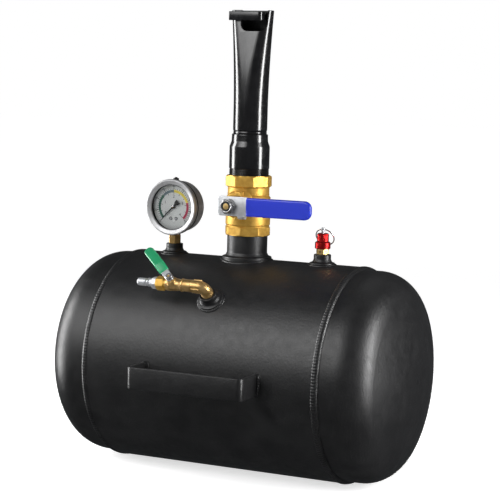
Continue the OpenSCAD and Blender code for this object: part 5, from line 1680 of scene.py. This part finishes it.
@dataclass
class Inlet(Assembly):
    """The brass elbow, the small ball valve with its cranked lever, and the air plug."""

    angle: float = math.radians(43)
    rise: float = 25.0
    leg_r: float = 7.2
    bend_r: float = 7.0
    front: float = 26.0
    stem_x: float = 40.0
    back: float = 48.0
    end: float = 60.5
    lever_turn: float = math.radians(140)
    stand: float = 11.6
    lever_t: float = 1.6
    crank_start: float = 14.0
    crank_end: float = 24.0
    crank_rise: float = 4.0
    reach: float = 55.0

    def build(self) -> None:
        """Makes and dresses every piece of the inlet."""
        tank = Box("tank_shell")
        self.tank_r = tank.size.z / 2 / MM
        out = Vector((0, -math.cos(self.angle), math.sin(self.angle)))
        port = Box("inlet_port")
        axis = Vector((port.centre.x, 0, tank.centre.z))
        self.base = frame_on(axis + out * (self.tank_r * MM), out, AXIS_X)
        self.stem = self.base @ Matrix.Translation(Vector((-self.stem_x, 0, self.rise)) * MM)
        self.elbow()
        self.valve()
        self.end_piece()
        self.dress(CHROME, "inlet_ball")
        self.dress(PTFE, "inlet_seats")
        self.dress(BRASS_MACHINED, "inlet_stem")
        self.gland_nut()
        self.lever()
        self.sleeve()
        self.lever_nut()
        self.plug()

    def run_frame(self, x: float) -> Matrix:
        """A frame on the run's axis that points away from the elbow.

        Args:
            x: the distance from the elbow in millimetres.

        Returns:
            The frame.
        """
        at = self.base @ (Vector((-x, 0, self.rise)) * MM)
        turn = self.base.to_3x3()
        return frame_on(at, turn @ -AXIS_X, turn @ AXIS_Z)

    def elbow(self) -> None:
        """The cast elbow: a smooth bend, a collar at each end, and the casting's parting rib."""
        plan = rounded_outline([(0, 7.0, 0), (0, self.rise, self.bend_r), (-16.5, self.rise, 0)], 14,
                               closed=False)
        path = [self.base @ (Vector((x, 0, z)) * MM) for x, z in plan]
        side = self.base.to_3x3() @ AXIS_Y
        round_section = in_metres(circle_points(self.leg_r - 0.35, 40))
        pipe = sweep("inlet_elbow_cast", path, round_section, side, sharp=50)
        rib_section = in_metres(rectangle(2 * self.leg_r + 0.5, 1.5, 0.6, 3))
        rib = sweep("rib", path[1:-1], rib_section, side, sharp=50)
        collar = turned("collar", self.run_frame(14.8), [
            (3.2, -1), (5.5, -1), (self.leg_r - 0.2, 0, 0.3), (self.leg_r, 0.9, 0.4),
            (self.leg_r, self.front - 14.8, 0.4), (5.0, self.front - 14.8, 0.1), (5.0, self.front - 9.0),
            (3.2, self.front - 9.0)], sides=64)
        foot = turned("foot", self.base, [
            (3.2, 7.0), (6.5, 7.0), (6.5, 12.0), (self.leg_r, 12.05, 0.3), (self.leg_r, 15.2, 0.4),
            (6.3, 15.9, 0.3), (3.2, 16.0)], sides=64)
        pads = []
        for side_y in (-1, 1):
            at = self.base @ (Vector((-9.0, side_y * (self.leg_r - 1.6), self.rise)) * MM)
            pads.append(slab("pad", frame_on(at, side * side_y, self.base.to_3x3() @ AXIS_X),
                             rectangle(10.5, 8.0, 0.8, 3), 1.75, 0.5, steps=2))
        self.add(joined([pipe, rib, collar, foot, *pads]), BRASS_WARM, "inlet_elbow")

    def valve(self) -> None:
        """The valve's body, with its rims, waist and the stem's boss."""
        length = self.back - self.front
        body = turned("inlet_valve_forging", self.run_frame(self.front), [
            (5.1, 0.02), (6.6, 0.02, 0.2), (7.75, 0.7, 0.3), (7.75, 2.0, 0.3), (7.0, 2.7, 0.5),
            (6.75, 5.0, 1.2), (7.25, 8.0, 2.5), (7.35, 14.0, 2.5), (7.0, length - 6.4, 0.5),
            (7.7, length - 5.6, 0.3), (7.7, length - 0.7, 0.3), (7.0, length, 0.2), (6.2, length, 0.1),
            (6.2, length - 11, 0.1), (5.1, length - 11.2, 0.1), (5.1, 8.4), (3.3, 8.2), (3.3, 6.2),
            (5.1, 6.0)], sides=80)
        boss = turned("boss", self.stem, [
            (2.5, 5.9), (7.3, 4.6, 0.2), (5.7, 7.0, 1.2), (5.15, 8.0, 0.6), (5.15, 9.0, 0.3),
            (2.5, 9.0, 0.1)], sides=64)
        self.add(joined([body, boss]), BRASS_WARM, "inlet_valve_body")

    def end_piece(self) -> None:
        """The hexagonal end that the air plug screws into."""
        flats = Flats(15, 6)
        high = self.end - self.back
        piece = turned("inlet_valve_end_turned", self.run_frame(self.back), [
            (3.3, -5), (6.0, -5), (6.0, 0.02), (6.95, 0.05, 0.1), (6.95, 1.9, 0.2), (7.5, 2.0, 0.1, flats),
            (8.35, 2.7, 0.3, flats), (8.35, high - 0.9, 0.3, flats), (7.2, high, 0.2, flats),
            (5.1, high, 0.2), (5.1, high - 6), (3.3, high - 6.2)], sides=96)
        self.add(piece, BRASS, "inlet_valve_end")

    def gland_nut(self) -> None:
        """The small hexagon round the stem."""
        flats = Flats(9, 6)
        nut = turned("inlet_gland_nut_turned", self.stem, [
            (2.5, 9.02), (4.7, 9.02, 0.1, flats), (5.05, 9.4, 0.1, flats), (5.05, 10.6, 0.1, flats),
            (4.5, 11.0, 0.1, flats), (2.5, 11.0, 0.1)], sides=96)
        self.add(nut, BRASS_MACHINED, "inlet_gland_nut")

    def lever_frame(self) -> Matrix:
        """The small lever's frame: X along the lever and Z along its stem."""
        return self.stem @ Matrix.Rotation(self.lever_turn, 4, "Z")

    def crank(self, start: float, end: float, spacing: float) -> list[Point2]:
        """The lever's middle line from the side.

        Args:
            start: where it starts along the lever.
            end: where it ends.
            spacing: the distance between points.

        Returns:
            Points along and up, in millimetres.
        """
        mid = self.stand + self.lever_t / 2
        corners = rounded_outline([
            (start, mid, 0), (self.crank_start, mid, 3.0), (self.crank_end, mid + self.crank_rise, 3.0),
            (end, mid + self.crank_rise, 0)], 5, closed=False)
        line = [corners[0]]
        for x, z in corners[1:]:
            x0, z0 = line[-1]
            parts = max(1, math.ceil(math.hypot(x - x0, z - z0) / spacing))
            line += [(x0 + (x - x0) * k / parts, z0 + (z - z0) * k / parts) for k in range(1, parts + 1)]
        return line

    def strip(self, name: str, start: float, end: float, width: Callable[[float], float], thick: float,
              edge: float) -> Piece:
        """A strip that follows the lever's crank.

        Args:
            name: the object's name.
            start: where it starts along the lever.
            end: where it ends.
            width: its width at a distance along the lever.
            thick: its thickness.
            edge: the rounding of its edges.

        Returns:
            The object.
        """
        frame = self.lever_frame()
        line = self.crank(start, end, 0.8)
        side = frame.to_3x3() @ AXIS_Y
        path = [frame @ (Vector((x, 0, z)) * MM) for x, z in line]

        def section(i: int) -> list[Point2]:
            """The strip's section at one point."""
            x = line[i][0]
            near = min(x - start, end - x)
            rounding = math.sqrt(max(0.0, 1 - (1 - near / edge) ** 2))
            t = thick if near > edge else max(0.35 * thick, thick * rounding)
            r = min(edge, t / 2 * 0.98)
            return in_metres(rectangle(t, max(0.3, width(x)), r))

        return sweep(name, path, section, side, sharp=50)

    def lever(self) -> None:
        """The cranked steel lever with a round end at the stem."""
        def width(x: float) -> float:
            """The lever's width."""
            return 9.0 if x > 0 else 2 * math.sqrt(max(0.02, 4.5 ** 2 - x * x))

        self.add(self.strip("inlet_lever_strip", -4.48, self.reach - 3, width, self.lever_t, 0.35), ZINC,
                 "inlet_lever")

    def sleeve(self) -> None:
        """The green vinyl sleeve."""
        def width(x: float) -> float:
            """The sleeve's width, with round ends."""
            tip = self.reach - x
            lead = x - 13.0
            w = 12.0
            if tip < 6.0:
                w = 2 * math.sqrt(max(0.05, 6.0 ** 2 - (6.0 - tip) ** 2))
            if lead < 1.5:
                w -= 1.6 * (1 - math.sqrt(max(0.0, 1 - (1 - lead / 1.5) ** 2)))
            return w

        strip = self.strip("inlet_sleeve_vinyl", 13.0, self.reach, width, 4.4, 1.9)
        self.add(strip, GREEN_VINYL, "inlet_sleeve")

    def lever_nut(self) -> None:
        """The small nut with the stem's end in it."""
        flats = Flats(8, 6, math.radians(12))
        base = self.stand + self.lever_t
        nut = turned("inlet_lever_nut_turned", self.lever_frame(), [
            (1.55, base), (3.9, base, 0.1, flats), (4.45, base + 0.5, 0.15, flats),
            (4.45, base + 2.7, 0.2, flats), (3.6, base + 3.4, 0.2, flats),
            (1.55, base + 3.4, 0.15)], sides=72)
        self.add(nut, NUT_STEEL, "inlet_lever_nut")

    def plug(self) -> None:
        """The steel air plug: hexagon, collar, locking groove and nose."""
        flats = Flats(13, 6, math.radians(10))
        plug = turned("air_plug_turned", self.run_frame(self.end), [
            (2.6, -6), (4.6, -6, 0.3), (5.0, -5.2), (5.0, 0.02), (6.4, 0.02, 0.1, flats),
            (7.2, 0.7, 0.2, flats), (7.2, 4.9, 0.2, flats), (6.3, 5.6, 0.2, flats), (5.3, 5.8, 0.2),
            (5.3, 8.0, 0.4), (4.5, 9.2, 0.8), (4.5, 10.2, 0.6), (5.3, 11.0, 0.3), (5.3, 11.6, 0.3),
            (3.4, 12.2, 0.5), (3.4, 14.0, 0.5), (4.7, 14.9, 0.4), (4.7, 24.0, 0.5), (4.1, 25.4, 0.4),
            (2.9, 25.4, 0.2), (2.6, 24.8, 0.2)], sides=96)
        self.add(plug, ZINC, "air_plug")


# ---------------------------------------------------------------- studio


@dataclass
class Studio:
    """The pale floor, the white surround, the lights and the camera."""

    view_azimuth: float = 26.2
    view_elevation: float = 5.97
    view_roll: float = 1.48
    view_distance: float = 2.063
    target: tuple[float, float, float] = (0.0068, -0.0058, 0.2664)
    lens: float = 124.2
    surround_r: float = 14.0

    def build(self) -> None:
        """Makes the camera, floor, surround and lights."""
        self.camera()
        self.floor()
        self.surround()
        world = bpy.data.worlds.new("room")
        world.use_nodes = True
        world.node_tree.nodes["Background"].inputs["Color"].default_value = (0.9, 0.95, 1.0, 1)
        world.node_tree.nodes["Background"].inputs["Strength"].default_value = 0.05
        bpy.context.scene.world = world
        self.panel("left_strip", -106, 5, 2.2, 0.75, 1.9, 15)
        self.panel("right_softbox", 66, 10, 2.2, 0.52, 1.7, 26)
        for step, radiance in enumerate((1.6, 3.6, 5.2, 2.6)):
            self.panel(f"front_left_panel_{step}", -76 + 15 * step, 30, 2.5, 0.65, 1.6, radiance)
        self.panel("top_panel", 150, 62, 2.6, 1.6, 1.2, 0.5)
        bpy.context.scene.view_settings.view_transform = "Standard"

    def direction(self, azimuth: float, elevation: float) -> Vector:
        """A direction from the object.

        Args:
            azimuth: degrees from the front towards +X.
            elevation: degrees above the floor.

        Returns:
            The unit vector.
        """
        a, e = math.radians(azimuth), math.radians(elevation)
        return Vector((math.sin(a) * math.cos(e), -math.cos(a) * math.cos(e), math.sin(e)))

    def camera(self) -> None:
        """The camera, at the product picture's angle."""
        data = bpy.data.cameras.new("camera")
        data.lens = self.lens
        data.sensor_width = 36
        camera = bpy.data.objects.new("camera", data)
        bpy.context.scene.collection.objects.link(camera)
        back = self.direction(self.view_azimuth, self.view_elevation)
        level = AXIS_Z.cross(back).normalized()
        upright = back.cross(level)
        roll = math.radians(self.view_roll)
        right = level * math.cos(roll) + upright * math.sin(roll)
        camera.matrix_world = frame_on(Vector(self.target) + back * self.view_distance, back, right)
        bpy.context.scene.camera = camera
        log.info("camera: %.1f mm lens", data.lens)

    def panel(self, name: str, turn: float, elevation: float, distance: float, width: float, height: float,
              radiance: float) -> None:
        """A soft rectangular light that faces the object.

        Args:
            name: the light's name.
            turn: degrees to the right of the camera.
            elevation: degrees above the floor.
            distance: how far it is from the object.
            width: its width.
            height: its height.
            radiance: how bright its face is.
        """
        data = bpy.data.lights.new(name, "AREA")
        data.shape = "RECTANGLE"
        data.size = width
        data.size_y = height
        data.energy = radiance * math.pi * width * height
        light = bpy.data.objects.new(name, data)
        bpy.context.scene.collection.objects.link(light)
        out = self.direction(self.view_azimuth + turn, elevation)
        light.matrix_world = frame_on(Vector(self.target) + out * distance, out, AXIS_Z.cross(out))
        light.visible_camera = False
        log.info("%s: radiance %.1f", name, radiance)

    def disc(self, name: str, radius: float, z: float, material: bpy.types.Material) -> Piece:
        """A flat round sheet that belongs to the stage.

        Args:
            name: the object's name.
            radius: its radius.
            z: its height.
            material: its material.

        Returns:
            The object.
        """
        points = [Vector((radius * math.cos(math.tau * i / 96), radius * math.sin(math.tau * i / 96), z))
                  for i in range(96)]
        sheet = make_piece(name, points, [tuple(range(96))])
        sheet.data.materials.append(material)
        return sheet

    def floor(self) -> None:
        """The pale floor: it takes soft shadows near the object and fades into the surround."""
        graph = Graph("floor_paper")
        gradient = graph.tree.nodes.new("ShaderNodeTexGradient")
        gradient.gradient_type = "SPHERICAL"
        graph.link(graph.stretched((0.35, 0.35, 0.35)), gradient.inputs["Vector"])
        near = graph.spread(gradient.outputs["Fac"], 0.1, 0.8, 0.0, 1.0)
        graph.colour_by(graph.ramp(near, 0.0, 1.0, (0.02, 0.02, 0.02), (0.86, 0.86, 0.86)))
        graph.set(Roughness=0.9, Emission_Color=(1.0, 1.0, 1.0))
        graph.link(graph.spread(near, 0.0, 1.0, 1.0, 0.66), graph.shader.inputs["Emission Strength"])
        sheet = self.disc("floor", self.surround_r * 0.99, -0.0004, graph.material)
        sheet.visible_glossy = False

    def surround(self) -> None:
        """The white dome that stands behind the object from every side."""
        graph = Graph("surround_white")
        graph.set(Base_Color=(0.0, 0.0, 0.0), Roughness=1.0)
        graph.set(Emission_Color=(1.0, 1.0, 1.0), Emission_Strength=1.0)
        levels = [math.pi * (i / 32 - 0.5) for i in range(33)]
        r = self.surround_r
        turns = [math.tau * k / 64 for k in range(64)]
        rings = [[Vector((math.cos(e) * math.cos(a), math.cos(e) * math.sin(a), math.sin(e))) * r
                  for a in turns] for e in levels[1:-1]]
        dome = loft("surround", [[Vector((0, 0, -r))], *rings, [Vector((0, 0, r))]])
        dome.data.materials.append(graph.material)
        for ray in ("glossy", "diffuse", "shadow", "transmission"):
            setattr(dome, f"visible_{ray}", False)


def corners(limits: tuple[Vector, Vector]) -> list[list[float]]:
    """A box as plain lists of numbers."""
    return [[round(value, 6) for value in corner] for corner in limits]


def main() -> None:
    """Builds every sub-assembly."""
    logging.basicConfig(level=logging.INFO, format="%(name)s %(message)s")
    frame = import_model()
    Studio().build()
    for kind in (Tank, CarryHandle, MainValve, Barrel, Gauge, ReliefValve, Inlet):
        log.info("-- %s", kind.__name__)
        kind(frame).build()


if __name__ == "__main__":
    main()
